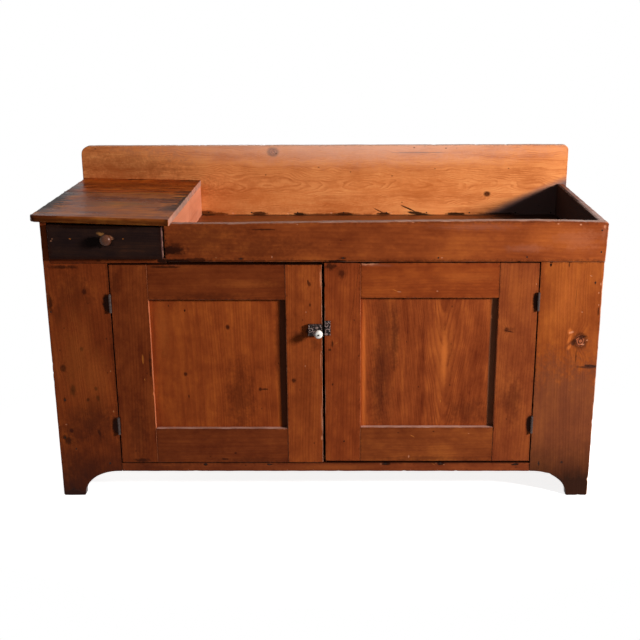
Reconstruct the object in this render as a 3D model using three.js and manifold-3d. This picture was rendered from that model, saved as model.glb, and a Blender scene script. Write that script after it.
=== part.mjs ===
// A dry sink: a long pine cupboard with an open sink well on top, a worktop over one drawer at its left,
// a splash board along the back, and a pair of frame-and-panel doors held by a small cast-iron latch.
// Millimetres. X runs along the front from left to right, Y from the front to the back, Z up from the floor.
import * as THREE from "three";
import { mergeVertices } from "three/addons/utils/BufferGeometryUtils.js";
import Module from "manifold-3d";

// Shared sizes
const seam = 0.3; // gap left in every fixed joint
const overrun = 5; // how far a cutter passes the face that it opens
const boardThickness = 22; // planed pine of the case and of the door frames
const curveSteps = 10; // flats in a quarter of a sawn curve
const cornerSteps = 5; // flats in a small rounded corner
const roundSides = 20; // flats round a turned piece

// Case
const caseWidth = 1524; // outside to outside
const caseDepth = 575; // front face to the splash board
const rimHeight = 813; // floor to the top of the right side
const leftStileWidth = 174.5;
const rightStileWidth = 173;
const footWidth = 64.5; // a front foot at the floor
const footUpright = 5; // height of a foot before its curve starts
const skirtHeight = 77; // floor to the underside of the bottom rail
const bottomRailHeight = 26.5;
const sideFootLength = 92; // a foot of a side panel at the floor
const footCurveShare = 0.91; // curve of a front foot, of the stile's width beside the foot
const sideCurveLength = 96; // curve of a side foot along the floor
const dadoDepth = 6; // housing of the floors in the side panels
const floorTongue = 15; // thickness of a floor's ends in the housings, under a shoulder flush with the panels

// Cupboard floor, shelf and back
const cupboardFloorHeight = 93; // floor to its underside
const shelfHeightShare = 0.487; // of the way from the cupboard floor up to the sink floor
const shelfThickness = 18;
const shelfSetback = 62; // shelf edge behind the case front
const cleatWidth = 21;
const cleatHeight = 38;
const plankThickness = 16;
const plankLap = 9; // half-lapped edge of a back plank
const plankGap = 1.2;
const plankWidthShares = [0.152, 0.176, 0.162, 0.184, 0.157, 0.169];

// Sink well
const sinkWellDepth = 101; // rim to the sink floor
const sinkFloorSeamShare = 0.46; // joint of its two planks, front to back
const splashRise = 122; // rim to the top of the splash board
const splashLap = 11.5; // splash board over the edge of the sink floor
const splashLeftOverhang = 29;
const splashRightOverhang = 9;
const splashRightRise = 4; // right end of its top edge above the left end
const splashLeftRound = 28;
const splashRightRound = 18;
const apronLap = 9.7; // apron over the edge of the sink floor
const apronLeft = 337; // case left side to the left end of the apron
const apronTopShares = [1, 0.78, 0.35, 0.12, 0]; // places along its top edge, which was planed by eye
const apronTopRises = [0, 4, -1, -5, -4]; // heights of those places above the rim
const apronEndProud = 1.5; // right end of its lower edge past the case
const apronEndFlare = 4.5; // right end of its top edge past the case
const dividerThickness = 20;
const dividerLeft = 330; // case left side to the drawer side of the divider
const dividerLetIn = 4; // depth of the groove in the sink floor that the divider stands in

// Worktop
const worktopThickness = 19;
const worktopFrontOverhang = 20;
const worktopLeftOverhang = 24;
const worktopDividerOverhang = 1.5;
const worktopSeamShare = 0.6; // joint of its two planks, front to back
const worktopDrop = 7; // the worktop slopes down from the case's left side to the divider
const worktopFrontSkew = 18; // right end of its front edge before the left end
const worktopNose = 6; // rounding of its front edge
const worktopCorner = 9; // rounding of its front left corner

// Drawer
const drawerRest = 15; // how far the drawer stands proud at rest
const drawerRailHeight = 13.5;
const drawerRailShort = 1.5; // end of the rail before the apron
const drawerStripWidth = 18.5; // stile left beside the drawer
const drawerFrontThickness = 19;
const drawerTopGap = 5.5; // drawer front to the worktop
const drawerFrontLift = 1; // underside of the sides to the underside of the front
const drawerSideThickness = 12;
const drawerSideTopGap = 17.5; // drawer sides to the worktop
const drawerSideClearance = 1.5;
const drawerRunClearance = 0.5; // above the sink floor
const drawerBottomThickness = 8;
const drawerBottomInset = 6; // underside of the sides to the bottom board
const drawerGroove = 5;
const drawerBackThickness = 12;
const drawerBackFromEnd = 10;
const drawerBackDrop = 5; // top of the sides to the top of the back
const tailLength = 12;
const tailCount = 3;
const tailNarrowShare = 0.5; // of one tail's pitch
const tailWideShare = 0.74;
const stopLength = 18;
const stopFromBack = 13.4;
const stopWidth = 60;
const stopHeight = 16;
const stopShare = 0.4; // place of the stop across the drawer

// Doors
const leftDoorBottom = 105;
const leftDoorTopGap = 7.8; // apron to door
const rightDoorBottom = 109.5;
const rightDoorTopGap = 2.3;
const doorGap = 6.5; // between the doors
const doorMiddle = -3; // middle of that gap, from the middle of the case
const hingeStileWidth = 103;
const rightHingeStileWidth = 107.5;
const lockStileWidth = 100;
const topRailWidth = 100;
const bottomRailWidth = 106.5;
const panelRecess = 12; // door face to panel
const panelThickness = 7;
const panelGroove = 8;
const panelGap = 1; // room for the panel to move in its groove
const tenonInnerHaunch = 21;
const tenonOuterHaunch = 14;

// Butt hinges
const hingeLength = 51;
const hingeFromTop = 110; // door top to the middle of the upper hinge
const hingeFromBottom = 115;
const hingeGap = 2.4; // between a door and its stile
const leafThickness = 1.6;
const leafGap = 1; // between the closed leaves
const leafDepth = 22; // barrel axis to the leaf's far edge
const barrelRadius = 3.5;
const barrelStandOff = 0.7; // barrel to the face of the wood
const knuckleCount = 5;
const pinRadius = 1.6;
const pinClearance = 0.35;
const pinHeadRadius = 2.6;
const pinHeadHeight = 1.4;
const barrelSides = 16;
const knuckleGap = 0.4; // between neighbouring knuckles, and from a leaf to the other's knuckles

// Cupboard latch
const latchWidth = 37;
const latchHeight = 32;
const latchDepth = 11;
const latchWall = 2;
const latchBevel = 1.2;
const latchHeightShare = 0.687; // middle of the latch, of the left door's height
const latchSetback = 0.7; // latch end to the edge of the door
const spindleFromEnd = 8.5; // latch end to the spindle
const spindleDrop = 5; // middle of the latch to the spindle
const spindleCollarRadius = 3.4;
const spindleShankRadius = 1.9;
const spindleHeadRadius = 2.4;
const spindleHeadHeight = 0.9;
const spindleClearance = 0.5;
const camRadius = 4.2;
const camFingerReach = 12;
const camFingerWidth = 4;
const camSwing = 30; // degrees to either side of upright
const boltHeight = 10;
const boltThickness = 4.8;
const boltLift = 6; // spindle to the bolt's underside
const boltTailLength = 9; // bolt behind its notch
const boltNose = 3.5; // how far the drawn bolt stands out of the latch
const boltTravel = 9.4;
const boltClearance = 0.6;
const notchWidth = 9.2;
const notchHeight = 7.2;
const knobRadius = 12;
const knobLength = 27;
const knobRadiusShares = [0.56, 0.6, 0.44, 0.46, 0.8, 0.97, 1, 0.93, 0.72, 0.36];
const knobLengthShares = [0, 0.07, 0.2, 0.3, 0.42, 0.54, 0.68, 0.83, 0.95, 1];
const keeperWidth = 16;
const keeperHeight = 42;
const keeperPlateThickness = 2.5;
const keeperRise = 4; // middle of the latch to the middle of the keeper
const keeperBoxHeight = 19;
const keeperSetback = 0.8;
const keeperMouthDepth = 8;
const keeperMouthClearance = 1;

// Bolt inside the right door
const innerBoltFromEdge = 50; // lock edge of the door to the bolt
const innerPlateWidth = 20;
const innerPlateHeight = 70;
const innerPlateThickness = 2;
const innerPlateFromTop = 18;
const innerRodSize = 6;
const innerRodLift = 1.2; // plate to rod
const innerRodBelow = 2.5; // sink floor to the tip of the rod
const innerRodLength = 72;
const innerStapleWall = 2.2;
const innerStapleHeight = 6;
const innerStapleInset = 7; // plate end to staple
const innerStapleClearance = 0.5;
const innerThumbHeight = 8;
const innerThumbReach = 7;
const innerBoltHoleDepth = 12;
const innerBoltHoleClearance = 0.7;

// Wooden drawer knob
const drawerKnobRadius = 16;
const drawerKnobLength = 30;
const drawerKnobTenonRadius = 6;
const drawerKnobRadiusShares = [0.62, 0.64, 0.46, 0.44, 0.72, 0.95, 1, 0.9, 0.66, 0.3];
const drawerKnobLengthShares = [0, 0.06, 0.18, 0.34, 0.47, 0.6, 0.72, 0.87, 0.96, 1];
const drawerKnobRise = 10; // middle of the drawer front to the knob
const drawerKnobShift = 7; // towards the right of the middle

const wasm = await Module();
wasm.setup();

// Places that follow from the sizes above, in the case's own frame
const caseLeft = -caseWidth / 2;
const caseRight = caseWidth / 2;
const insideLeft = caseLeft + boardThickness;
const insideRight = caseRight - boardThickness;
const behindFront = boardThickness + seam; // what stands behind the front boards starts here
const insideBack = caseDepth - seam;
const sideTop = rimHeight - seam;
const sinkFloorTop = rimHeight - sinkWellDepth;
const sinkFloorHeight = sinkFloorTop - boardThickness; // floor to its underside
const cupboardFloorTop = cupboardFloorHeight + boardThickness;
const shelfHeight = cupboardFloorTop + shelfHeightShare * (sinkFloorHeight - cupboardFloorTop);
const splashHeight = rimHeight + splashRise;
const splashBottom = sinkFloorTop - splashLap;
const apronBottom = sinkFloorTop - apronLap;
const leftDoorTop = apronBottom - leftDoorTopGap;
const rightDoorTop = apronBottom - rightDoorTopGap;
const latchMiddleHeight = leftDoorBottom + latchHeightShare * (leftDoorTop - leftDoorBottom);
const drawerBase = sinkFloorTop + drawerRunClearance; // underside of the drawer's sides
const drawerSideHeight = rimHeight - drawerSideTopGap - drawerBase;
const drawerFrontHeight = rimHeight - drawerTopGap - drawerBase - drawerFrontLift;
const drawerSideLength = insideBack - stopFromBack - stopLength - seam - drawerFrontThickness;
const drawerRailBottom = sinkFloorTop - drawerRailHeight;
const dividerFace = caseLeft + dividerLeft;
const dividerFarFace = dividerFace + dividerThickness;
const apronStart = caseLeft + apronLeft;
const worktopSlope = worktopDrop / (dividerFarFace - caseLeft);
const backBoardTop = splashBottom - seam;
const leftStileEdge = caseLeft + leftStileWidth;
const rightStileEdge = caseRight - rightStileWidth;
const leftDoorEdge = doorMiddle - doorGap / 2;
const rightDoorEdge = doorMiddle + doorGap / 2;
const barrelY = -(barrelRadius + barrelStandOff);

const pineFront = { color: 0x7a3a17, roughness: 0.45, metalness: 0 };
const pineTop = { color: 0x6b3d1e, roughness: 0.5, metalness: 0 };
const pineInside = { color: 0xa8703f, roughness: 0.75, metalness: 0 };
const pineDark = { color: 0x1d1310, roughness: 0.6, metalness: 0 };
const ironFinish = { color: 0x2b2725, roughness: 0.55, metalness: 0.8 };
const porcelain = { color: 0xf1efe8, roughness: 0.15, metalness: 0 };

const cabinet = new THREE.Group();
const carcase = new THREE.Group();
const leftDoor = new THREE.Group();
const rightDoor = new THREE.Group();
const drawer = new THREE.Group();
const latch = new THREE.Group();
cabinet.add(carcase, leftDoor, rightDoor, drawer);
leftDoor.add(latch);

// A closed mesh as a solid that can be joined and cut
function solid(geometry) {
  const bare = geometry.clone();
  bare.deleteAttribute("normal");
  bare.deleteAttribute("uv");
  const merged = mergeVertices(bare);
  const vertProperties = new Float32Array(merged.attributes.position.array);
  const triVerts = new Uint32Array(merged.index.array);
  return new wasm.Manifold(new wasm.Mesh({ numProp: 3, vertProperties, triVerts }));
}

function put(group, name, piece, finish) {
  const made = piece.getMesh();
  const geometry = new THREE.BufferGeometry();
  geometry.setAttribute("position", new THREE.BufferAttribute(made.vertProperties, made.numProp));
  geometry.setIndex(new THREE.BufferAttribute(made.triVerts, 1));
  geometry.computeVertexNormals();
  const mesh = new THREE.Mesh(geometry, new THREE.MeshStandardMaterial(finish));
  mesh.name = name;
  group.add(mesh);
  return mesh;
}

// A square-edged piece between two corners
function block(x0, x1, y0, y1, z0, z1) {
  const box = new THREE.BoxGeometry(x1 - x0, y1 - y0, z1 - z0);
  return solid(box.translate((x0 + x1) / 2, (y0 + y1) / 2, (z0 + z1) / 2));
}

function sawn(outline, depth) {
  return new THREE.ExtrudeGeometry(outline, { depth, bevelEnabled: false });
}

// A board sawn to an outline in X and Z, from face y0 to face y1
function facingBoard(outline, y0, y1) {
  return solid(sawn(outline, y1 - y0).rotateX(Math.PI / 2).translate(0, y1, 0));
}

// A board sawn to an outline in Y and Z, from face x0 to face x1
function sideBoard(outline, x0, x1) {
  return solid(sawn(outline, x1 - x0).rotateX(Math.PI / 2).rotateZ(Math.PI / 2).translate(x0, 0, 0));
}

// A board sawn to an outline in X and Y, from height z0 to height z1
function lyingBoard(outline, z0, z1) {
  return solid(sawn(outline, z1 - z0).translate(0, 0, z0));
}

function outlineOf(points) {
  return new THREE.Shape(points.map(([u, v]) => new THREE.Vector2(u, v)));
}

// A round bar along one axis, from a to b, about the point (u, v) of the other two axes in X, Y, Z order
function bar(axis, radius, sides, u, v, a, b) {
  const made = new THREE.CylinderGeometry(radius, radius, b - a, sides);
  const middle = (a + b) / 2;
  if (axis === "x") return solid(made.rotateZ(Math.PI / 2).translate(middle, u, v));
  if (axis === "y") return solid(made.translate(u, middle, v));
  return solid(made.rotateX(Math.PI / 2).translate(u, v, middle));
}

// A turned piece whose axis points out of the front; the profile gives [radius, distance out of the face]
function turnedOutwards(profile) {
  const points = profile.map(([radius, out]) => new THREE.Vector2(radius, out));
  return solid(new THREE.LatheGeometry(points, roundSides).rotateX(Math.PI));
}

// A quarter of an ellipse, from the upright edge at (u, v0) over to the level edge at (u + reach, v1)
function sawnCurve(u, reach, v0, v1) {
  return Array.from({ length: curveSteps + 1 }, (_, i) => {
    const turn = (Math.PI / 2) * (i / curveSteps);
    return [u + reach * (1 - Math.cos(turn)), v0 + (v1 - v0) * Math.sin(turn)];
  });
}

// A quarter circle about (u, v), anticlockwise from a whole number of right angles
function corner(u, v, radius, rightAngles) {
  return Array.from({ length: cornerSteps + 1 }, (_, i) => {
    const turn = (Math.PI / 2) * (rightAngles + i / cornerSteps);
    return [u + radius * Math.cos(turn), v + radius * Math.sin(turn)];
  });
}

// A piece made level, tipped down to the right about the rim at the case's left side as the worktop is
function tipped(piece) {
  const degrees = THREE.MathUtils.radToDeg(Math.atan(worktopSlope));
  const atPivot = piece.translate([-caseLeft, 0, -rimHeight]);
  return atPivot.rotate([0, degrees, 0]).translate([caseLeft, 0, rimHeight]);
}

// Planes the top of a board to the slope of the worktop that lies on it
function trimmedToWorktop(board) {
  const left = caseLeft - worktopLeftOverhang;
  const right = dividerFarFace + worktopDividerOverhang + seam;
  const low = rimHeight - seam;
  const high = rimHeight + worktopThickness;
  return board.subtract(tipped(block(left, right, -worktopFrontOverhang, insideBack + overrun, low, high)));
}

// Side panels, from the front boards to the back boards, each sawn to two feet and housed for both floors
function sidePanel(name, x0, x1, insideFace, top) {
  const footEnd = behindFront + sideFootLength;
  const rearFootStart = insideBack - sideFootLength;
  const outline = outlineOf([
    [behindFront, 0],
    [footEnd, 0],
    ...sawnCurve(footEnd, sideCurveLength, footUpright, skirtHeight),
    ...sawnCurve(rearFootStart, -sideCurveLength, footUpright, skirtHeight).reverse(),
    [rearFootStart, 0],
    [insideBack, 0],
    [insideBack, top],
    [behindFront, top],
  ]);
  let panel = sideBoard(outline, x0, x1);
  for (const underside of [cupboardFloorHeight, sinkFloorHeight]) {
    const z0 = underside - seam;
    const z1 = underside + floorTongue + seam;
    const y0 = behindFront - overrun;
    const y1 = insideBack + overrun;
    panel = panel.subtract(block(insideFace - dadoDepth, insideFace + dadoDepth, y0, y1, z0, z1));
  }
  put(carcase, name, trimmedToWorktop(panel), pineFront);
}

// Where a closed leaf lies in the edge of its stile: how far it is let in past the stile's edge
function leafLetIn() {
  return leafGap / 2 + leafThickness + seam - hingeGap / 2;
}

// Cuts the two hinge housings into the edge x of a stile; inwards is 1 where the wood lies at greater X
function hingeHoused(stile, x, inwards, heights) {
  const inner = x + inwards * leafLetIn();
  const outer = x - inwards * overrun;
  const y1 = barrelY + leafDepth + seam;
  const half = hingeLength / 2 + seam;
  const x0 = Math.min(inner, outer);
  const x1 = Math.max(inner, outer);
  return heights.reduce((wood, z) => wood.subtract(block(x0, x1, -overrun, y1, z - half, z + half)), stile);
}

function hingeHeights(bottom, top) {
  return [bottom + hingeFromBottom, top - hingeFromTop];
}

// Front stiles: broad boards that end below in a foot with a sawn curve
function frontStiles() {
  const railSeat = drawerRailBottom - seam;
  const strip = caseLeft + drawerStripWidth;
  const leftFoot = caseLeft + footWidth;
  const leftCurve = footCurveShare * (leftStileWidth - footWidth);
  const left = outlineOf([
    [caseLeft, 0],
    [leftFoot, 0],
    ...sawnCurve(leftFoot, leftCurve, footUpright, skirtHeight),
    [leftStileEdge, skirtHeight],
    [leftStileEdge, railSeat],
    [strip, railSeat],
    [strip, sideTop],
    [caseLeft, sideTop],
  ]);
  const leftHinges = hingeHeights(leftDoorBottom, leftDoorTop);
  const leftStile = hingeHoused(facingBoard(left, 0, boardThickness), leftStileEdge, -1, leftHinges);
  put(carcase, "stile_left", trimmedToWorktop(leftStile), pineFront);

  const rightFoot = caseRight - footWidth;
  const rightCurve = footCurveShare * (rightStileWidth - footWidth);
  const right = outlineOf([
    [caseRight, 0],
    [rightFoot, 0],
    ...sawnCurve(rightFoot, -rightCurve, footUpright, skirtHeight),
    [rightStileEdge, skirtHeight],
    [rightStileEdge, apronBottom - seam],
    [caseRight, apronBottom - seam],
  ]);
  const rightHinges = hingeHeights(rightDoorBottom, rightDoorTop);
  const rightStile = hingeHoused(facingBoard(right, 0, boardThickness), rightStileEdge, 1, rightHinges);
  put(carcase, "stile_right", rightStile, pineFront);
}

// Bottom rail, apron and the thin rail under the drawer, all flush with the stiles
function frontRails() {
  const bottomRailTop = skirtHeight + bottomRailHeight;
  const railLeft = leftStileEdge + seam;
  const railRight = rightStileEdge - seam;
  const bottomRail = block(railLeft, railRight, 0, boardThickness, skirtHeight, bottomRailTop);
  put(carcase, "bottom_rail", bottomRail, pineFront);

  const apronLength = caseRight + apronEndFlare - apronStart;
  const planed = apronTopShares.map((share, i) => {
    return new THREE.Vector2(apronStart + share * apronLength, rimHeight + apronTopRises[i]);
  });
  const topEdge = new THREE.SplineCurve(planed).getPoints(curveSteps).map((point) => [point.x, point.y]);
  const lowerEdge = [[apronStart, apronBottom], [caseRight + apronEndProud, apronBottom]];
  const apron = facingBoard(outlineOf([...lowerEdge, ...topEdge]), 0, boardThickness);
  put(carcase, "apron", trimmedToWorktop(apron), pineFront);

  const thinRailLeft = caseLeft + drawerStripWidth + seam;
  const thinRailRight = apronStart - drawerRailShort;
  const thinRail = block(thinRailLeft, thinRailRight, 0, boardThickness, drawerRailBottom, sinkFloorTop);
  put(carcase, "drawer_rail", thinRail, pineDark);
}

// A floor between the side panels, each end rebated from above to a tongue that lies in the panel's housing
function housedFloor(underside, y0, y1) {
  const tongueLeft = insideLeft - dadoDepth + seam;
  const tongueRight = insideRight + dadoDepth - seam;
  const shoulderLeft = insideLeft + seam;
  const shoulderRight = insideRight - seam;
  const shoulder = underside + floorTongue;
  const top = underside + boardThickness;
  const outline = outlineOf([
    [tongueLeft, underside],
    [tongueRight, underside],
    [tongueRight, shoulder],
    [shoulderRight, shoulder],
    [shoulderRight, top],
    [shoulderLeft, top],
    [shoulderLeft, shoulder],
    [tongueLeft, shoulder],
  ]);
  return facingBoard(outline, y0, y1);
}

// Floor of the sink well, in two planks grooved for the divider; the front one takes the tip of the door bolt
function sinkFloor() {
  const joint = behindFront + sinkFloorSeamShare * (insideBack - behindFront);
  const rodX = rightDoorEdge + innerBoltFromEdge;
  const rodY = boardThickness + innerRodMiddle();
  const reach = innerRodSize / 2 + innerBoltHoleClearance;
  const holeBottom = sinkFloorHeight - overrun;
  const holeTop = sinkFloorHeight + innerBoltHoleDepth;
  const hole = block(rodX - reach, rodX + reach, rodY - reach, rodY + reach, holeBottom, holeTop);
  const grooveX = [dividerFace - seam, dividerFarFace + seam];
  const grooveY = [behindFront - overrun, insideBack + overrun];
  const grooveZ = [sinkFloorTop - dividerLetIn, sinkFloorTop + overrun];
  const groove = block(grooveX[0], grooveX[1], grooveY[0], grooveY[1], grooveZ[0], grooveZ[1]);
  const front = housedFloor(sinkFloorHeight, behindFront, joint - plankGap / 2);
  const rear = housedFloor(sinkFloorHeight, joint + plankGap / 2, insideBack);
  put(carcase, "sink_floor_front", front.subtract(groove).subtract(hole), pineInside);
  put(carcase, "sink_floor_rear", rear.subtract(groove), pineInside);
}

// Cupboard floor, shelf on two cleats, and the divider between the drawer and the sink well
function insideBoards() {
  const floor = housedFloor(cupboardFloorHeight, behindFront, insideBack);
  put(carcase, "cupboard_floor", floor, pineInside);

  const shelfFront = boardThickness + shelfSetback;
  const shelfLeft = insideLeft + seam;
  const shelfRight = insideRight - seam;
  const shelfTop = shelfHeight + shelfThickness;
  const shelf = block(shelfLeft, shelfRight, shelfFront, insideBack, shelfHeight, shelfTop);
  put(carcase, "shelf", shelf, pineInside);

  const cleatTop = shelfHeight - seam;
  const cleatBottom = cleatTop - cleatHeight;
  const cleatRight = shelfLeft + cleatWidth;
  const cleatLeft = shelfRight - cleatWidth;
  const leftCleat = block(shelfLeft, cleatRight, shelfFront, insideBack, cleatBottom, cleatTop);
  const rightCleat = block(cleatLeft, shelfRight, shelfFront, insideBack, cleatBottom, cleatTop);
  put(carcase, "shelf_cleat_left", leftCleat, pineInside);
  put(carcase, "shelf_cleat_right", rightCleat, pineInside);

  const dividerBottom = sinkFloorTop - dividerLetIn + seam;
  const divider = block(dividerFace, dividerFarFace, behindFront, insideBack, dividerBottom, sideTop);
  put(carcase, "sink_divider", trimmedToWorktop(divider), pineTop);
}

// Back boards run upright behind the case, with half-lapped edges
function backBoards() {
  const middle = caseDepth + plankThickness / 2;
  const back = caseDepth + plankThickness;
  let x0 = caseLeft;
  plankWidthShares.forEach((share, i) => {
    const first = i === 0;
    const last = i === plankWidthShares.length - 1;
    const x1 = x0 + share * caseWidth;
    const outerRight = last ? x1 : x1 - plankGap;
    const lapEnd = outerRight + plankLap;
    const lap = [[lapEnd, caseDepth], [lapEnd, middle - seam / 2], [outerRight, middle - seam / 2]];
    const rightSide = last ? [[outerRight, caseDepth]] : lap;
    const rebate = first ? [] : [[x0, middle + seam / 2], [x0 + plankLap, middle + seam / 2]];
    const start = first ? x0 : x0 + plankLap;
    const outline = outlineOf([[start, caseDepth], ...rightSide, [outerRight, back], [x0, back], ...rebate]);
    put(carcase, `back_board_${i + 1}`, lyingBoard(outline, skirtHeight, backBoardTop), pineInside);
    x0 = x1;
  });
}

// Splash board along the back, with rounded upper corners and a top edge that rises a little to the right
function splashBoard() {
  const left = caseLeft - splashLeftOverhang;
  const right = caseRight + splashRightOverhang;
  const rightHeight = splashHeight + splashRightRise;
  const outline = outlineOf([
    [left, splashBottom],
    [right, splashBottom],
    ...corner(right - splashRightRound, rightHeight - splashRightRound, splashRightRound, 0),
    ...corner(left + splashLeftRound, splashHeight - splashLeftRound, splashLeftRound, 1),
  ]);
  put(carcase, "splash_board", facingBoard(outline, caseDepth, caseDepth + boardThickness), pineFront);
}

// Worktop over the drawer, of two planks, tipped down to the right. Its front edge runs out of square,
// and is rounded over, and so is its front left corner.
function worktop() {
  const left = caseLeft - worktopLeftOverhang;
  const right = dividerFarFace + worktopDividerOverhang;
  const front = -worktopFrontOverhang;
  const joint = front + worktopSeamShare * (insideBack - front);
  const top = rimHeight + worktopThickness;
  const frontEnd = joint - plankGap / 2;
  const nose = Math.min(worktopNose, worktopThickness / 2);
  const middle = (left + right) / 2;
  const skew = worktopFrontSkew / (right - left);
  const profile = outlineOf([
    [frontEnd + worktopFrontSkew, rimHeight],
    [frontEnd + worktopFrontSkew, top],
    ...corner(front + nose, top - nose, nose, 1),
    ...corner(front + nose, rimHeight + nose, nose, 2),
  ]);
  const shear = new THREE.Matrix4().makeShear(-skew, 0, 0, 0, 0, 0);
  const run = sawn(profile, right - left).rotateX(Math.PI / 2).rotateZ(Math.PI / 2);
  const nosed = run.translate(left - middle, 0, 0).applyMatrix4(shear).translate(middle, 0, 0);

  const cornerX = left + worktopCorner;
  const cornerY = front - skew * (cornerX - middle) + worktopCorner;
  const outFront = front - worktopFrontSkew;
  const plan = outlineOf([
    [right, outFront],
    [right, frontEnd],
    [left, frontEnd],
    ...corner(cornerX, cornerY, worktopCorner, 2),
    [cornerX, outFront],
  ]);
  const frontPlank = solid(nosed).intersect(lyingBoard(plan, rimHeight - overrun, top + overrun));
  put(carcase, "worktop_front", tipped(frontPlank), pineTop);
  const rearPlank = block(left, right, joint + plankGap / 2, insideBack, rimHeight, top);
  put(carcase, "worktop_rear", tipped(rearPlank), pineTop);
}

// One leaf of a butt hinge about its own pin: side is -1 or 1 for the side of the plate in X,
// and odd is 1 for the leaf that has the second, fourth and so on of the knuckles
function hingeLeaf(side, odd) {
  const near = (side * leafGap) / 2;
  const far = near + side * leafThickness;
  const bottom = -hingeLength / 2;
  const pitch = hingeLength / knuckleCount;
  let leaf = block(Math.min(near, far), Math.max(near, far), 0, leafDepth, bottom, -bottom);
  const knuckles = [];
  for (let i = 0; i < knuckleCount; i += 1) {
    const low = bottom + i * pitch;
    const high = low + pitch;
    const startsFree = i === 0 ? low : low + knuckleGap / 2;
    const endsFree = i === knuckleCount - 1 ? high : high - knuckleGap / 2;
    const room = [barrelRadius + knuckleGap, low - knuckleGap / 2, high + knuckleGap / 2];
    if (i % 2 === odd) knuckles.push([startsFree, endsFree]);
    else leaf = leaf.subtract(bar("z", room[0], barrelSides, 0, 0, room[1], room[2]));
  }
  for (const [low, high] of knuckles) leaf = leaf.add(bar("z", barrelRadius, barrelSides, 0, 0, low, high));
  const bore = bar("z", pinRadius + pinClearance, barrelSides, 0, 0, bottom - overrun, overrun - bottom);
  return leaf.subtract(bore);
}

function hingePin() {
  const half = hingeLength / 2;
  const shank = bar("z", pinRadius, barrelSides, 0, 0, -half, half + seam + pinHeadHeight / 2);
  return shank.add(bar("z", pinHeadRadius, barrelSides, 0, 0, half + seam, half + seam + pinHeadHeight));
}

// The two hinges of one door; hingeSide is -1 where the case stile lies to the left of the barrel
function doorHinges(label, door, barrelX, hingeSide, heights) {
  ["lower", "upper"].forEach((place, i) => {
    const caseLeaf = put(carcase, `hinge_${label}_${place}_case_leaf`, hingeLeaf(hingeSide, 0), ironFinish);
    const doorLeaf = put(door, `hinge_${label}_${place}_door_leaf`, hingeLeaf(-hingeSide, 1), ironFinish);
    const pin = put(carcase, `hinge_${label}_${place}_pin`, hingePin(), ironFinish);
    caseLeaf.position.set(barrelX, barrelY, heights[i]);
    pin.position.copy(caseLeaf.position);
    doorLeaf.position.copy(caseLeaf.position).sub(door.position);
  });
}

// A door of two stiles and two rails round a flat panel, in its own frame from its lower left front corner.
// The rails have through tenons, set back at both edges, in line with the groove that holds the panel.
function framedDoor(door, label, width, height, hingeSide) {
  const leftWidth = hingeSide < 0 ? hingeStileWidth : lockStileWidth;
  const rightWidth = hingeSide < 0 ? lockStileWidth : rightHingeStileWidth;
  const rightStart = width - rightWidth;
  const topRailStart = height - topRailWidth;
  const grooveFront = panelRecess - seam;
  const grooveBack = panelRecess + panelThickness + seam;
  const lowTenon = [tenonOuterHaunch, bottomRailWidth - tenonInnerHaunch];
  const highTenon = [topRailStart + tenonInnerHaunch, height - tenonOuterHaunch];

  function stile(x0, x1, grooveEdge) {
    let wood = block(x0, x1, 0, boardThickness, 0, height);
    const run = [grooveEdge - panelGroove, grooveEdge + panelGroove];
    wood = wood.subtract(block(run[0], run[1], grooveFront, grooveBack, lowTenon[1], highTenon[0]));
    for (const [low, high] of [lowTenon, highTenon]) {
      const mortise = [x0 - overrun, x1 + overrun, grooveFront, grooveBack, low - seam, high + seam];
      wood = wood.subtract(block(...mortise));
    }
    return wood;
  }

  function rail(z0, z1, tenon, grooveEdge) {
    const body = block(leftWidth + seam, rightStart - seam, 0, boardThickness, z0, z1);
    const run = [grooveEdge - panelGroove, grooveEdge + panelGroove];
    const groove = block(leftWidth, rightStart, grooveFront, grooveBack, run[0], run[1]);
    const panelBack = panelRecess + panelThickness;
    return body.subtract(groove).add(block(0, width, panelRecess, panelBack, tenon[0], tenon[1]));
  }

  const heights = hingeHeights(0, height);
  const plainLeft = stile(0, leftWidth, leftWidth);
  const plainRight = stile(rightStart, width, rightStart);
  const leftStile = hingeSide < 0 ? hingeHoused(plainLeft, 0, 1, heights) : plainLeft;
  const rightStile = hingeSide < 0 ? plainRight : hingeHoused(plainRight, width, -1, heights);
  const hingeName = `door_${label}_hinge_stile`;
  const lockName = `door_${label}_lock_stile`;
  put(door, hingeSide < 0 ? hingeName : lockName, leftStile, pineFront);
  put(door, hingeSide < 0 ? lockName : hingeName, rightStile, pineFront);
  put(door, `door_${label}_bottom_rail`, rail(0, bottomRailWidth, lowTenon, bottomRailWidth), pineFront);
  put(door, `door_${label}_top_rail`, rail(topRailStart, height, highTenon, topRailStart), pineFront);

  const inGroove = panelGroove - panelGap;
  const panelX = [leftWidth - inGroove, rightStart + inGroove];
  const panelZ = [bottomRailWidth - inGroove, topRailStart + inGroove];
  const panel = block(panelX[0], panelX[1], panelRecess, panelRecess + panelThickness, panelZ[0], panelZ[1]);
  put(door, `door_${label}_panel`, panel, pineFront);
}

function doors() {
  const leftWidth = leftDoorEdge - (leftStileEdge + hingeGap);
  const rightWidth = rightStileEdge - hingeGap - rightDoorEdge;
  const leftHeights = hingeHeights(leftDoorBottom, leftDoorTop);
  const rightHeights = hingeHeights(rightDoorBottom, rightDoorTop);
  leftDoor.position.set(leftStileEdge + hingeGap, 0, leftDoorBottom);
  rightDoor.position.set(rightDoorEdge, 0, rightDoorBottom);
  framedDoor(leftDoor, "left", leftWidth, leftDoorTop - leftDoorBottom, -1);
  framedDoor(rightDoor, "right", rightWidth, rightDoorTop - rightDoorBottom, 1);
  doorHinges("left", leftDoor, leftStileEdge + hingeGap / 2, -1, leftHeights);
  doorHinges("right", rightDoor, rightStileEdge - hingeGap / 2, 1, rightHeights);
}

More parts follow.
